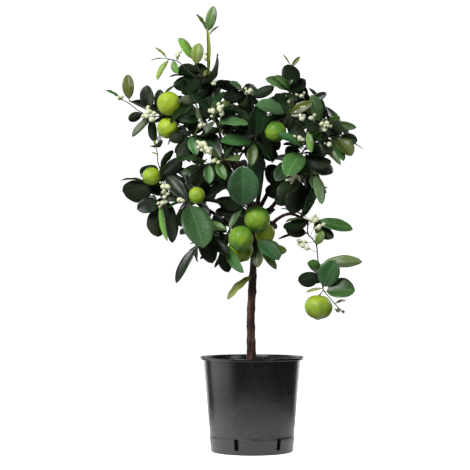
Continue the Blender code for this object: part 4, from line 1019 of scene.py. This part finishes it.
def make_fine_pot():
    shell = add_object("scrap_pot", mesh_of("scrap_pot", spun(fine_pot_profile(), POT_SPINS)))
    cutter = add_object("scrap_cutter", slot_cutter())
    cut = shell.modifiers.new("slots", "BOOLEAN")
    cut.operation = "DIFFERENCE"
    cut.solver = "EXACT"
    cut.object = cutter
    mesh = baked(shell)
    bpy.data.objects.remove(cutter, do_unlink=True)
    mesh.name = "pot_shell"
    obj = add_piece("pot_shell", mesh, "pot", POT)
    mesh.set_sharp_from_angle(angle=math.radians(32))
    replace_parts(obj, "nursery_pot")


def soil_height(x, y):
    """The soil's surface, in millimetres above the floor: crowned towards the stem, and lumpy."""
    radius = math.hypot(x, y)
    crown = SOIL_CROWN * max(0.0, 1 - (radius / SOIL_CROWN_RADIUS) ** 1.3)
    lumps = noise.fractal(Vector((x, y, 3.0)) * 0.05, 0.7, 2.0, 5) * SOIL_LUMPS
    calmer = min(1.0, (100.0 - radius) / 12.0 + 0.35)
    return POT_HEIGHT - SOIL_BELOW_RIM + crown - 1.0 + lumps * calmer


def make_soil():
    top = POT_HEIGHT - SOIL_BELOW_RIM
    web_top, corner, middle = inner_wall()[1:]
    profile = [
        *((radius, top) for radius in SOIL_RINGS), (outer_radius(top) - WALL - GAP, top),
        (web_top[0] - GAP, web_top[1]), (corner[0] - GAP, corner[1] + GAP), (0.0, middle[1] + GAP),
    ]
    bm = spun(profile, SOIL_SPINS)
    for vert in bm.verts:
        x, y, z = vert.co / MM
        if z > top - 1.0:
            vert.co.z = soil_height(x, y) * MM
    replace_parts(add_piece("soil", mesh_of("soil", bm), "soil", SOIL), "root_ball")


def make_soil_bits():
    """Bark chips and pale grit lying in the soil's surface."""
    chance = random.Random(BITS_SEED)
    noise.seed_set(BITS_SEED)  # noise_vector shifts by the time of day without a seed
    for name, count, low, high, flat, material in (
        ("soil_chips", 420, 1.6, 4.4, 0.45, CHIP), ("soil_grit", 110, 0.9, 2.0, 0.8, GRIT),
    ):
        bm = bmesh.new()
        for _ in range(count):
            radius = (BITS_TO - 1.0) * math.sqrt(chance.random())
            turn = chance.uniform(0, math.tau)
            size = chance.uniform(low, high)
            x, y = radius * math.cos(turn), radius * math.sin(turn)
            if radius + size > BITS_TO or radius < BITS_FROM:
                continue
            tilt = Matrix.Rotation(turn * 3, 4, "Z") @ Matrix.Rotation(chance.uniform(-0.5, 0.5), 4, "X")
            stretch = Matrix.Diagonal((1.0, chance.uniform(0.4, 0.9), flat * chance.uniform(0.6, 1.0), 1.0))
            spotted = Matrix.Translation(Vector((x, y, soil_height(x, y) + size * 0.15)) * MM)
            bmesh.ops.create_icosphere(bm, subdivisions=1, radius=size * MM, matrix=spotted @ tilt @ stretch)
        for vert in bm.verts:
            vert.co = vert.co + noise.noise_vector(vert.co * 900.0) * 0.35 * MM
        add_piece(name, mesh_of(name, bm), "soil", material)


# The part's own stems: a path holds smoothed points, radii in millimetres and the number of cuts to a span


def smoothed(points, cuts):
    """A Catmull-Rom curve through the points, with each span in so many cuts."""
    ends = [points[0] * 2 - points[1], *points, points[-1] * 2 - points[-2]]
    made = []
    for a, b, c, d in zip(ends, ends[1:], ends[2:], ends[3:]):
        for k in range(cuts):
            t = k / cuts
            made.append(
                0.5 * ((2 * b) + (c - a) * t + (2 * a - 5 * b + 4 * c - d) * t**2
                       + (3 * b - a - 3 * c + d) * t**3)
            )
    return made + [points[-1]]


def last_station(path):
    return (len(path.points) - 1) / path.cuts


def spot(path, at):
    """The point of a path at a station, counted in its chosen points, and the radius there."""
    place = min(max(at * path.cuts, 0.0), len(path.points) - 1.001)
    low = int(place)
    share = place - low
    point = path.points[low].lerp(path.points[low + 1], share)
    return point, path.radii[low] * (1 - share) + path.radii[low + 1] * share


def trunk_path():
    points = smoothed([Vector(p) for p in TRUNK_POINTS], LIMB_CUTS)
    spans = len(TRUNK_RADII) - 1
    radii = []
    for k in range(len(points)):
        place = min(k / LIMB_CUTS, spans - 1e-6)
        share = place - int(place)
        radii.append(TRUNK_RADII[int(place)] * (1 - share) + TRUNK_RADII[int(place) + 1] * share)
    return Path(points, radii, LIMB_CUTS)


def branch_path(branch, parent, start, end, cuts):
    joint, parent_radius = spot(parent, branch.at)
    start = min(start, parent_radius * CHILD_SHARE)
    end = min(max(end, TWIG_LEAST), start)
    points = smoothed([joint, *map(Vector, branch.points)], cuts)
    last = len(points) - 1
    radii = [start + (end - start) * k / last for k in range(len(points))]
    return Path(points, radii, cuts)


def tube_mesh(name, points, radii, sides):
    """A closed tube through the points: a filled curve made into a mesh."""
    curve = bpy.data.curves.new(name, "CURVE")
    curve.dimensions = "3D"
    curve.bevel_depth = MM
    curve.bevel_resolution = sides
    curve.use_fill_caps = True
    spline = curve.splines.new("POLY")
    spline.points.add(len(points) - 1)
    for place, point, radius in zip(spline.points, points, radii):
        place.co = (*(point * MM), 1.0)
        place.radius = radius
    mesh = baked(add_object(name, curve))
    bm = bmesh.new()
    bm.from_mesh(mesh)
    bmesh.ops.remove_doubles(bm, verts=bm.verts, dist=MERGE)
    bpy.data.meshes.remove(mesh)
    return mesh_of(name, bm)


# Where the leaves go: each is tested against what stands, as it is in the part


def leaf_of(at, x, y, z, width, roll, kind="dark"):
    return Leaf(at, (x, y, z), width, roll, kind)


def leaf_rows(base, tip, width, roll, toward, stations):
    """Three points across the leaf at each station, and the direction that its upper side faces."""
    axis, face, side = leaf_frame(base, tip, roll, toward)
    rows = []
    for share, wide in stations:
        half = max(width * wide, PETIOLE_WIDTH) / 2
        middle = base + axis * share + face * (LEAF_ARCH * axis.length * 4 * share * (1 - share))
        lifted = face * (LEAF_FOLD * half)
        rows.append([middle - side * half + lifted, middle, middle + side * half + lifted])
    rows[-1] = [tip, tip, tip]
    return rows, face


def leaf_shell(rows, face, half):
    """A closed shell round the leaf, half a thickness out on each side."""
    bm = bmesh.new()
    top, bottom = (
        [[bm.verts.new((p + face * side) * MM) for p in row] for row in rows] for side in (half, -half)
    )
    for i in range(len(rows) - 1):
        for j in range(2):
            bm.faces.new([top[i][j], top[i][j + 1], top[i + 1][j + 1], top[i + 1][j]])
            bm.faces.new([bottom[i][j], bottom[i + 1][j], bottom[i + 1][j + 1], bottom[i][j + 1]])
        bm.faces.new([top[i][0], top[i + 1][0], bottom[i + 1][0], bottom[i][0]])
        bm.faces.new([top[i][2], bottom[i][2], bottom[i + 1][2], top[i + 1][2]])
    bm.faces.new([top[0][0], *bottom[0], top[0][2], top[0][1]])
    bm.faces.new([*top[-1], *bottom[-1][::-1]])
    return bm


def variants(nudge):
    """The small changes of size, roll and tip tried in turn until a leaf stands clear."""
    for shrink in (1.0, 0.9, 0.78):
        for turn in (0, 16, -16, 32, -32, 50, -50):
            for push in (0, -7, 7, -14, 14, -22, 22, -32, 32):
                yield shrink, turn, nudge * push


def petiole_spot(path, at, parent_radius):
    """Where a leaf leaves its twig: at its station, but clear of what the twig grows from."""
    while at < last_station(path) and (spot(path, at)[0] - path.points[0]).length < parent_radius + 3.0:
        at += 0.02
    return spot(path, at)[0]


def grow_leaf(owner, base, leaf, toward, nudge, stations):
    """The leaf in its first variant that crosses nothing, in a list, or an empty list."""
    fat = LEAF_THICKNESS / 2 + LEAF_CLEARANCE
    for shrink, turn, push in variants(nudge):
        tip = base + (Vector(leaf.tip) - base) * shrink + push
        rows, face = leaf_rows(base, tip, leaf.width * shrink, leaf.roll + turn, toward, stations)
        whole = leaf_shell(rows, face, fat)
        blade = leaf_shell(rows[1:], face, fat)
        clear = stands_clear(whole, owner, ("stem", "leaf")) and stands_clear(blade, owner)
        whole.free()
        blade.free()
        if clear:
            place(owner, "leaf", leaf_shell(rows, face, LEAF_THICKNESS / 2))
            return [Grown(base, tip, leaf.width * shrink, leaf.roll + turn, toward, leaf.kind)]
    return []


def within_crown(base, tip):
    """The tip brought inside the crown's outline; the leaf turns inwards instead, and keeps its length."""
    height = min(max(tip.z, CROWN_EDGES[0][0]), CROWN_EDGES[-1][0])
    for low, high in zip(CROWN_EDGES, CROWN_EDGES[1:]):
        if height <= high[0]:
            share = (height - low[0]) / (high[0] - low[0])
            left, right = (a + (b - a) * share for a, b in zip(low[1:], high[1:]))
            break
    x = min(max(tip.x, left), right)
    if NOTCH_SIDES[0] < x < NOTCH_SIDES[1]:
        height = min(height, NOTCH_TOP)
    if (x, height) == (tip.x, tip.z):
        return tip
    depth = (tip - base).length_squared - (x - base.x) ** 2 - (height - base.z) ** 2
    return Vector((x, base.y + math.copysign(math.sqrt(max(depth, 0.0)), -base.y), height))


def fill_leaves(path, count, chance):
    """Leaves set round a twig by the golden angle, each a Leaf with the way that it faces."""
    last = last_station(path)
    inward = 0.55 if path.points[-1].y < 0 else 0.0
    for k in range(count):
        at = last * (0.2 + 0.8 * k / max(count - 1, 1))
        base = spot(path, at)[0]
        ahead = (spot(path, min(at + 0.3, last))[0] - spot(path, at - 0.3)[0]).normalized()
        outward = Vector((base.x, base.y, 0.0)).normalized()
        across = ahead.orthogonal().normalized()
        across.rotate(Matrix.Rotation(GOLDEN_ANGLE * k + chance.uniform(-0.3, 0.3), 3, ahead))
        way = (ahead * 0.35 + across + outward * (0.4 - inward) + Vector((0, inward, 0))).normalized()
        length = chance.uniform(*FILL_LENGTH)
        width = length * chance.uniform(0.44, 0.54)
        toward = (outward * 0.7 + Vector((0.0, 0.0, 0.9))).normalized()
        tip = within_crown(base, base + way * length)
        yield Leaf(at, tip, width, chance.uniform(-15, 15), "inner"), toward


def thicket_leaves(path, count, chance):
    """Small leaves close round a stem, behind what shows: the base, the Leaf and the way it faces."""
    for _ in range(count):
        base = spot(path, last_station(path) * chance.uniform(0.25, 1.0))[0]
        way = scattered(chance, (-1, 1), (-0.15, 1.0), (-0.6, 0.9))
        length = chance.uniform(*THICKET_LENGTH)
        tip = within_crown(base, base + way * length)
        leaf = Leaf(0, tip, length * chance.uniform(0.46, 0.58), chance.uniform(-30, 30), "thicket")
        yield base, leaf, Vector((chance.uniform(-0.5, 0.5), chance.uniform(-1.0, 0.6), 0.6)).normalized()


# Where the limes, their stalks and the buds go


def lime_matrix(lime):
    turn = Vector(lime.axis).to_track_quat("Z", "Y").to_matrix().to_4x4()
    return Matrix.Translation(Vector(lime.centre) * MM) @ turn


def stem_end(lime):
    return Vector(lime.centre) + Vector(lime.axis).normalized() * lime.length / 2


def place_lime(name, lime):
    bm = bmesh.new()
    bmesh.ops.create_uvsphere(bm, u_segments=LIME_SIDES, v_segments=8, radius=MM)
    size = (lime.radius + GAP, lime.radius + GAP, lime.length / 2 + GAP)
    bmesh.ops.scale(bm, vec=size, verts=bm.verts)
    bmesh.ops.transform(bm, matrix=lime_matrix(lime), verts=bm.verts)
    place("lime_" + name, "lime", bm)


def add_rod(bm, start, end, radius):
    """The points of a straight four-sided stalk between two points, in millimetres."""
    way = end - start
    turn = way.to_track_quat("Z", "Y").to_matrix().to_4x4()
    return bmesh.ops.create_cone(
        bm, cap_ends=True, segments=4, radius1=radius * MM, radius2=radius * MM,
        depth=way.length * MM, matrix=Matrix.Translation((start + end) / 2 * MM) @ turn,
    )["verts"]


def bud_shape(centre, root):
    bm = bmesh.new()
    size = Matrix.Diagonal((1.0, 1.0, 1.3, 1.0))
    turn = (centre - root).to_track_quat("Z", "Y").to_matrix().to_4x4()
    matrix = Matrix.Translation(centre * MM) @ turn @ size
    bmesh.ops.create_icosphere(bm, subdivisions=1, radius=BUD_RADIUS * MM, matrix=matrix)
    add_rod(bm, root, centre, BUD_STALK_RADIUS)
    return bm


def nearest_roots(centre, paths):
    """(distance, shoot, point) of the nearest twig points that a bud's stalk can reach."""
    found = []
    for name, path in paths.items():
        for point in path.points[1:]:
            distance = (point - centre).length
            if BUD_RADIUS + 3 < distance < BUD_STALK_LONGEST:
                found.append((distance, name, point))
    return sorted(found, key=lambda item: item[:2])[:6]


def grow_bud(centre, paths):
    """(shoot, centre, root) of the bud on the nearest twig that it reaches without crossing anything."""
    for push in (0, -6, 6, -12, 12):
        moved = Vector(centre) + BACKWARD * push
        for _, owner, root in nearest_roots(moved, paths):
            shape = bud_shape(moved, root)
            if stands_clear(shape, owner):
                place(owner, "bud", shape)
                return owner, moved, root
            shape.free()
    return None


def grow_stems(paths):
    """The trunk, the limbs and the limes, then each twig's path. Its own piece comes after its leaves."""
    trunk = paths["trunk"] = trunk_path()
    place_mesh("trunk", "stem", tube_mesh("scrap", trunk.points, trunk.radii, TRUNK_SIDES))
    make_trunk(trunk)
    for name, branch in LIMBS.items():
        limb = paths[name] = branch_path(branch, trunk, LIMB_START, LIMB_END, LIMB_CUTS)
        place_mesh("limb_" + name, "stem", tube_mesh("scrap", limb.points, limb.radii, LIMB_SIDES))
        make_limb(name, limb)
    for name, lime in LIMES.items():
        place_lime(name, lime)
        make_fine_lime(name, lime)
    for name, branch in SHOOTS.items():
        parent = paths[branch.parent]
        start = min(TWIG_START, spot(parent, branch.at)[1] * CHILD_SHARE)
        twig = paths[name] = branch_path(branch, parent, TWIG_START, start * TWIG_TAPER, TWIG_CUTS)
        place_mesh(name, "stem", tube_mesh("scrap", twig.points, twig.radii, TWIG_SIDES))


def grow_stalks(paths):
    """Each shoot's fruit stalks, as (start, end)."""
    stalks = {name: [] for name in SHOOTS}
    for lime in LIMES.values():
        bm = bmesh.new()
        start, end = spot(paths[lime.twig], lime.at)[0], stem_end(lime)
        add_rod(bm, start, end + Vector(lime.axis).normalized() * 3 * GAP, STALK_RADIUS)
        place(lime.twig, "stem", bm)
        stalks[lime.twig].append((start, end))
    return stalks


def grow_tree():
    """Grows everything in the part's own order, so that each leaf and bud comes out where it is there."""
    paths = {}
    grow_stems(paths)
    stalks = grow_stalks(paths)
    leaves = {name: [] for name in SHOOTS}
    buds = {name: [] for name in SHOOTS}
    beside = {name: spot(paths[branch.parent], branch.at)[1] for name, branch in SHOOTS.items()}
    for name in SHOOTS:
        for leaf in (leaf_of(*row) for row in LEAVES.get(name, ())):
            base = petiole_spot(paths[name], leaf.at, beside[name])
            stations = LEAF_STATIONS if leaf.width > SMALL_LEAF else SMALL_STATIONS
            leaves[name] += grow_leaf(name, base, leaf, FRONT_AND_UP, BACKWARD, stations)
    for centre in BUDS:
        grown = grow_bud(centre, {name: paths[name] for name in SHOOTS})
        if grown:
            buds[grown[0]].append(grown[1:])
    chance = random.Random(FILL_SEED)
    for name, count in FILL_COUNTS.items():
        for leaf, toward in fill_leaves(paths[name], count, chance):
            base = petiole_spot(paths[name], leaf.at, beside[name])
            leaves[name] += grow_leaf(name, base, leaf, toward, UPWARD, SMALL_STATIONS)

    chance = random.Random(THICKET_SEED)
    for name, count in THICKET.items():
        for base, leaf, toward in thicket_leaves(paths[name], count, chance):
            leaves[name] += grow_leaf(name, base, leaf, toward, UPWARD, SMALL_STATIONS)
    for name, rows in THICKET_PLACED.items():
        for leaf in (leaf_of(*row, "thicket") for row in rows):
            base = spot(paths[name], leaf.at)[0]
            leaves[name] += grow_leaf(name, base, leaf, THICKET_TOWARD, UPWARD, SMALL_STATIONS)

    chance = random.Random(LEAF_SEED)
    meshes = clear_leaves(leaves, chance)
    for name in SHOOTS:
        make_twig(name, paths[name], leaves[name], stalks[name])
        if meshes[name]:
            make_leaves(name, meshes[name])
        if buds[name]:
            make_buds(name, buds[name], chance)


# Materials


class Number:
    """A shader socket that adds, subtracts and multiplies through Math nodes."""

    def __init__(self, shader, socket):
        self.shader = shader
        self.socket = socket

    def __add__(self, other):
        return self.shader.math("ADD", self, other)

    def __sub__(self, other):
        return self.shader.math("SUBTRACT", self, other)

    def __rsub__(self, other):
        return self.shader.math("SUBTRACT", other, self)

    def __mul__(self, other):
        return self.shader.math("MULTIPLY", self, other)

    __radd__ = __add__
    __rmul__ = __mul__


class Shader:
    """One material, and the nodes that make it."""

    def __init__(self, name, **fixed):
        self.material = bpy.data.materials.new(name)
        self.material.use_nodes = True
        self.tree = self.material.node_tree
        self.surface = self.tree.nodes["Principled BSDF"]
        for title, value in fixed.items():
            self.feed(self.surface.inputs[title.replace("_", " ")], value)

    def feed(self, socket, value):
        if isinstance(value, Number):
            self.tree.links.new(value.socket, socket)
        elif isinstance(value, bpy.types.NodeSocket):
            self.tree.links.new(value, socket)
        elif socket.type == "RGBA":
            socket.default_value = (*value[:3], 1.0)
        else:
            socket.default_value = value

    def node(self, kind, settings, inputs):
        made = self.tree.nodes.new(kind)
        for title, value in settings.items():
            setattr(made, title, value)
        for title, value in inputs.items():
            self.feed(made.inputs[title], value)
        return made

    def math(self, operation, first, second=0.0, clamp=False):
        settings = {"operation": operation, "use_clamp": clamp}
        return Number(self, self.node("ShaderNodeMath", settings, {0: first, 1: second}).outputs[0])

    def step(self, value, low, high):
        """0 below low, 1 above high and a smooth slope between; low may be the greater."""
        settings = {"interpolation_type": "SMOOTHSTEP"}
        flip = low > high
        ends = (high, low) if flip else (low, high)
        inputs = {"Value": value, "From Min": ends[0], "From Max": ends[1]}
        made = Number(self, self.node("ShaderNodeMapRange", settings, inputs).outputs[0])
        return 1.0 - made if flip else made

    def mix(self, factor, first, second, blend="MIX"):
        settings = {"data_type": "RGBA", "blend_type": blend}
        return self.node("ShaderNodeMix", settings, {0: factor, 6: first, 7: second}).outputs[2]

    def place(self, scale=(1.0, 1.0, 1.0)):
        """The point on the object in metres, stretched."""
        coordinates = self.node("ShaderNodeTexCoord", {}, {}).outputs["Object"]
        return self.node("ShaderNodeMapping", {}, {"Vector": coordinates, "Scale": scale}).outputs[0]

    def noise(self, place, scale, detail=4.0, roughness=0.5):
        inputs = {"Vector": place, "Scale": scale, "Detail": detail, "Roughness": roughness}
        return Number(self, self.node("ShaderNodeTexNoise", {}, inputs).outputs[0])

    def cells(self, place, scale, output):
        return self.node("ShaderNodeTexVoronoi", {}, {"Vector": place, "Scale": scale}).outputs[output]

    def tone(self, output="Color"):
        return self.node("ShaderNodeAttribute", {"attribute_name": "tone"}, {}).outputs[output]

    def split(self, kind, title, value):
        """The three numbers of a colour or a vector."""
        return [Number(self, socket) for socket in self.node(kind, {}, {title: value}).outputs]

    def bump(self, height, distance, strength, under=None):
        inputs = {"Height": height, "Distance": distance, "Strength": strength}
        if under is not None:
            inputs["Normal"] = under
        return self.node("ShaderNodeBump", {}, inputs).outputs[0]

    def finish(self, colour, roughness, normal):
        for title, value in (("Base Color", colour), ("Roughness", roughness), ("Normal", normal)):
            self.feed(self.surface.inputs[title], value)
        return self.material


def leaf_pattern(shader):
    """(distance from the midrib, place along the leaf, side veins) from the leaf's own map."""
    uv = shader.node("ShaderNodeUVMap", {}, {}).outputs[0]
    x, along, _ = shader.split("ShaderNodeSeparateXYZ", "Vector", uv)
    across = shader.math("ABSOLUTE", x - 0.5) * 2.0
    bent = along * 9.5 - across * (2.1 - across * 0.7)
    wave = shader.math("ABSOLUTE", shader.math("FRACT", bent) - 0.5) * 2.0
    veins = shader.step(wave, 0.72, 0.97) * shader.step(across, 1.0, 0.7) * shader.step(along, 0.1, 0.16)
    return across, along, veins


def leaf_material(name, side_light, roughness, under):
    shader = Shader(name, Specular_IOR_Level=0.5 if not under else 0.25)
    across, along, veins = leaf_pattern(shader)
    place = shader.place()
    cloud = shader.noise(place, 85.0, 3.0)
    fine = shader.noise(place, 900.0, 4.0, 0.6)
    midrib = shader.step(across, 0.10, 0.03)
    colour = shader.mix(cloud * 0.5, shader.tone(), side_light, "MULTIPLY")
    paler = shader.mix(1.0, shader.mix(1.0, colour, colour, "ADD"), (0.018, 0.026, 0.012), "ADD")
    colour = shader.mix(veins * 0.30, colour, paler)
    colour = shader.mix(midrib * 0.5, colour, paler)
    if not under:
        # Painted sheen: cloudy patches of the upper side drawn paler, as a soft gloss looks
        painted_sheen = shader.step(shader.noise(place, 26.0, 2.0), 0.48, 0.70)
        colour = shader.mix(painted_sheen * 0.7, colour, shader.mix(1.0, colour, (0.032, 0.042, 0.026), "ADD"))
    petiole = shader.step(along, 0.13, 0.09)
    colour = shader.mix(petiole * 0.6, colour, TWIG_GREEN)
    colour = shader.mix(fine * 0.25, colour, (0.55, 0.6, 0.5), "MULTIPLY")
    if under:
        colour = shader.mix(0.12, colour, (0.08, 0.11, 0.05))
        # The tone's alpha keeps the near-black painted shade on the under side of a leaf whose upper side
        # faces the back
        colour = shader.mix(1.0, colour, shader.tone("Alpha"), "MULTIPLY")
    ribs = shader.step(shader.noise(place, 110.0, 2.0), 0.35, 0.65) * 0.3
    height = (1.0 - veins) * 0.6 + ribs - midrib * (0.8 if not under else -1.0)
    return shader.finish(colour, cloud * 0.16 + roughness, shader.bump(height, 0.0003, 0.4))


def bark_material():
    shader = Shader("bark", Specular_IOR_Level=0.35)
    streak = shader.noise(shader.place((1.0, 1.0, 0.16)), 190.0, 5.0, 0.62)
    patch = shader.noise(shader.place((1.0, 1.0, 0.5)), 38.0, 3.0)
    light = shader.step(streak + patch * 0.5, 0.72, 1.02)
    colour = shader.mix(light, (0.024, 0.0095, 0.0070), (0.21, 0.090, 0.050))
    grain = shader.noise(shader.place((1.0, 1.0, 0.35)), 900.0, 4.0, 0.6)
    colour = shader.mix(shader.step(grain, 0.6, 0.75) * 0.35, colour, (0.10, 0.075, 0.06))
    return shader.finish(colour, grain * 0.25 + 0.55, shader.bump(streak + grain * 0.4, 0.0016, 0.7))


def twig_material():
    shader = Shader("green_twig", Specular_IOR_Level=0.4)
    grain = shader.noise(shader.place((1.0, 1.0, 0.35)), 420.0, 4.0, 0.6)
    colour = shader.mix(grain * 0.8, shader.tone(), (0.45, 0.4, 0.35), "MULTIPLY")
    return shader.finish(colour, grain * 0.3 + 0.4, shader.bump(grain, 0.0005, 0.4))


def bud_material():
    shader = Shader("waxy_bud", Specular_IOR_Level=0.4)
    wax = shader.noise(shader.place(), 420.0, 3.0)
    colour = shader.mix(wax * 0.2, shader.tone(), (0.85, 0.88, 0.7), "MULTIPLY")
    return shader.finish(colour, wax * 0.2 + 0.4, shader.bump(wax, 0.0004, 0.3))


def lime_material(name, green, ripe):
    shader = Shader(name, Specular_IOR_Level=0.42)
    place = shader.place()
    yellow, ends, _ = shader.split("ShaderNodeSeparateColor", "Color", shader.tone())
    blotch = shader.noise(place, 95.0, 4.0, 0.55)
    share = shader.math("ADD", yellow, (blotch - 0.5) * 0.7, clamp=True)
    colour = shader.mix(share, green, ripe)
    colour = shader.mix(ends * 0.45, colour, green)
    pores = shader.step(shader.cells(place, 640.0, "Distance"), 0.34, 0.08)
    colour = shader.mix(pores * 0.30, colour, (0.45, 0.55, 0.2), "MULTIPLY")
    scar = shader.step(shader.noise(place, 180.0, 6.0, 0.7), 0.66, 0.74)
    colour = shader.mix(scar * 0.35, colour, (0.20, 0.16, 0.05))
    # Painted shade: the skin is drawn darker towards the lime's outline as the camera sees it
    facing = shader.node("ShaderNodeLayerWeight", {}, {"Blend": 0.5}).outputs["Facing"]
    painted_edge_shade = shader.mix(1.0, colour, (0.30, 0.42, 0.25), "MULTIPLY")
    colour = shader.mix(shader.step(facing, 0.45, 0.98) * 0.75, colour, painted_edge_shade)
    normal = shader.bump(1.0 - pores, 0.0005, 0.45, shader.bump(blotch, 0.001, 0.2))
    return shader.finish(colour, blotch * 0.14 + 0.36, normal)


def pot_material():
    shader = Shader("black_plastic", Specular_IOR_Level=0.7)
    place = shader.place()
    grain = shader.noise(place, 1300.0, 3.0, 0.6)
    speckle = shader.noise(place, 330.0, 5.0, 0.65)
    flow = shader.noise(shader.place((1.0, 1.0, 0.12)), 34.0, 4.0)
    height = shader.split("ShaderNodeSeparateXYZ", "Vector", place)[2]
    scuff = shader.step(shader.noise(shader.place((1.0, 1.0, 0.5)), 120.0, 7.0, 0.72), 0.60, 0.74)
    # Lighter grey towards the base: dust, and a painted reflection of the pale floor; the speckle shows more
    # there and the plastic is rougher
    cloud = shader.noise(place, 22.0, 4.0)
    low = shader.step(height + (cloud - 0.5) * 0.16, 0.14, 0.02)
    colour = shader.mix(low * 0.8, (0.0022, 0.0024, 0.0028), (0.024, 0.026, 0.030))
    colour = shader.mix(shader.step(speckle, 0.50, 0.66) * (low * 0.5 + 0.10), colour, (0.085, 0.092, 0.100))
    colour = shader.mix(scuff * 0.18, colour, (0.09, 0.09, 0.088))
    rough = flow * 0.12 + 0.20 + low * 0.12 + scuff * 0.10
    normal = shader.bump(speckle, 0.0007, 0.3, shader.bump(grain, 0.0003, 0.2))
    return shader.finish(colour, rough, shader.bump(flow, 0.003, 0.2, normal))


def soil_material():
    shader = Shader("potting_soil", Specular_IOR_Level=0.2)
    place = shader.place()
    clod = shader.noise(place, 160.0, 7.0, 0.7)
    crumb = Number(shader, shader.cells(place, 420.0, "Distance"))
    fibre = shader.noise(shader.place((1.0, 3.0, 1.0)), 300.0, 5.0, 0.65)
    colour = shader.mix(shader.step(clod, 0.35, 0.7), (0.009, 0.006, 0.004), (0.060, 0.036, 0.021))
    colour = shader.mix(shader.step(fibre, 0.62, 0.72) * 0.6, colour, (0.14, 0.09, 0.05))
    return shader.finish(colour, 0.9, shader.bump(clod + crumb * 0.6, 0.004, 0.9))


def chip_material(name, dark, light):
    shader = Shader(name, Specular_IOR_Level=0.25)
    which = shader.split("ShaderNodeSeparateColor", "Color", shader.cells(shader.place(), 150.0, "Color"))[0]
    grain = shader.noise(shader.place((1.0, 0.4, 1.0)), 700.0, 5.0, 0.65)
    colour = shader.mix(which, dark, light)
    colour = shader.mix(grain * 0.6, colour, (0.4, 0.38, 0.35), "MULTIPLY")
    return shader.finish(colour, 0.8, shader.bump(grain, 0.0008, 0.7))


def white_material(name, glow):
    white = (1.0, 1.0, 1.0)
    fixed = {"Roughness": 0.9, "Specular_IOR_Level": 0.0, "Emission_Color": white, "Emission_Strength": glow}
    return Shader(name, Base_Color=(0.9, 0.9, 0.9), **fixed).material


# The scene


def point_at(obj, target):
    way = Vector(target) - obj.location
    obj.rotation_euler = way.to_track_quat("-Z", "Y").to_euler()


def add_camera():
    data = bpy.data.cameras.new("camera")
    data.lens = CAMERA_LENS
    data.sensor_width = CAMERA_SENSOR
    camera = add_object("camera", data)
    camera.location = CAMERA_PLACE
    point_at(camera, CAMERA_TARGET)
    bpy.context.scene.camera = camera


def add_light(name, location, target, size, power):
    """A soft light that the camera can't see."""
    data = bpy.data.lights.new(name, "AREA")
    data.shape = "RECTANGLE"
    data.size, data.size_y = size
    data.energy = power
    light = add_object(name, data)
    light.location = location
    light.visible_camera = False
    point_at(light, target)


def add_room():
    """A pale floor with a round pale wall and a ceiling far off. Only the camera sees them."""
    curve = [math.radians(15 * k) for k in range(1, 7)]
    profile = [
        (0.0, 0.0), (ROOM_RADIUS, 0.0),
        *((ROOM_RADIUS + ROOM_ROUND * math.sin(a), ROOM_ROUND - ROOM_ROUND * math.cos(a)) for a in curve),
        (ROOM_RADIUS + ROOM_ROUND, ROOM_HEIGHT), (0.0, ROOM_PEAK),
    ]
    bm = spun([(radius / MM, height / MM) for radius, height in profile], 64)
    room = add_object("room", mesh_of("room", bm))
    room.data.materials.append(white_material("white_paper", FLOOR_GLOW))
    room.visible_diffuse = False
    room.visible_glossy = False
    room.visible_shadow = False


def add_card():
    """A round white card under the pot, that only its gloss reflects."""
    bm = bmesh.new()
    bmesh.ops.create_circle(bm, cap_ends=True, segments=48, radius=CARD_RADIUS)
    bmesh.ops.translate(bm, vec=(0.0, 0.0, MM), verts=bm.verts)
    card = add_object("reflector_card", mesh_of("reflector_card", bm))
    card.data.materials.append(white_material("card_white", CARD_GLOW))
    card.visible_camera = False
    card.visible_diffuse = False
    card.visible_shadow = False


def add_studio():
    add_room()
    add_card()
    world = bpy.data.worlds.new("surround")
    world.use_nodes = True
    world.node_tree.nodes["Background"].inputs["Color"].default_value = (1.0, 1.0, 1.0, 1.0)
    world.node_tree.nodes["Background"].inputs["Strength"].default_value = SURROUND
    bpy.context.scene.world = world
    bpy.context.scene.view_settings.view_transform = "Standard"
    for name, light in LIGHTS.items():
        add_light(name, *light)


SHOOTS = {**TWIGS, **BACK_TWIGS}
LEAF_TOP = leaf_material("leaf_upper_side", (0.55, 0.62, 0.5), 0.31, False)
LEAF_UNDER = leaf_material("leaf_under_side", (0.7, 0.75, 0.65), 0.5, True)
BARK = bark_material()
TWIG = twig_material()
BUD = bud_material()
LIME = lime_material("lime_skin", (0.085, 0.28, 0.025), (0.48, 0.64, 0.035))
FRUITLET = lime_material("fruitlet_skin", (0.075, 0.12, 0.02), (0.16, 0.20, 0.03))
POT = pot_material()
SOIL = soil_material()
CHIP = chip_material("bark_chips", (0.018, 0.010, 0.006), (0.13, 0.078, 0.045))
GRIT = chip_material("pale_grit", (0.22, 0.20, 0.17), (0.62, 0.60, 0.55))

add_camera()
add_studio()
make_fine_pot()
make_soil()
make_soil_bits()
grow_tree()
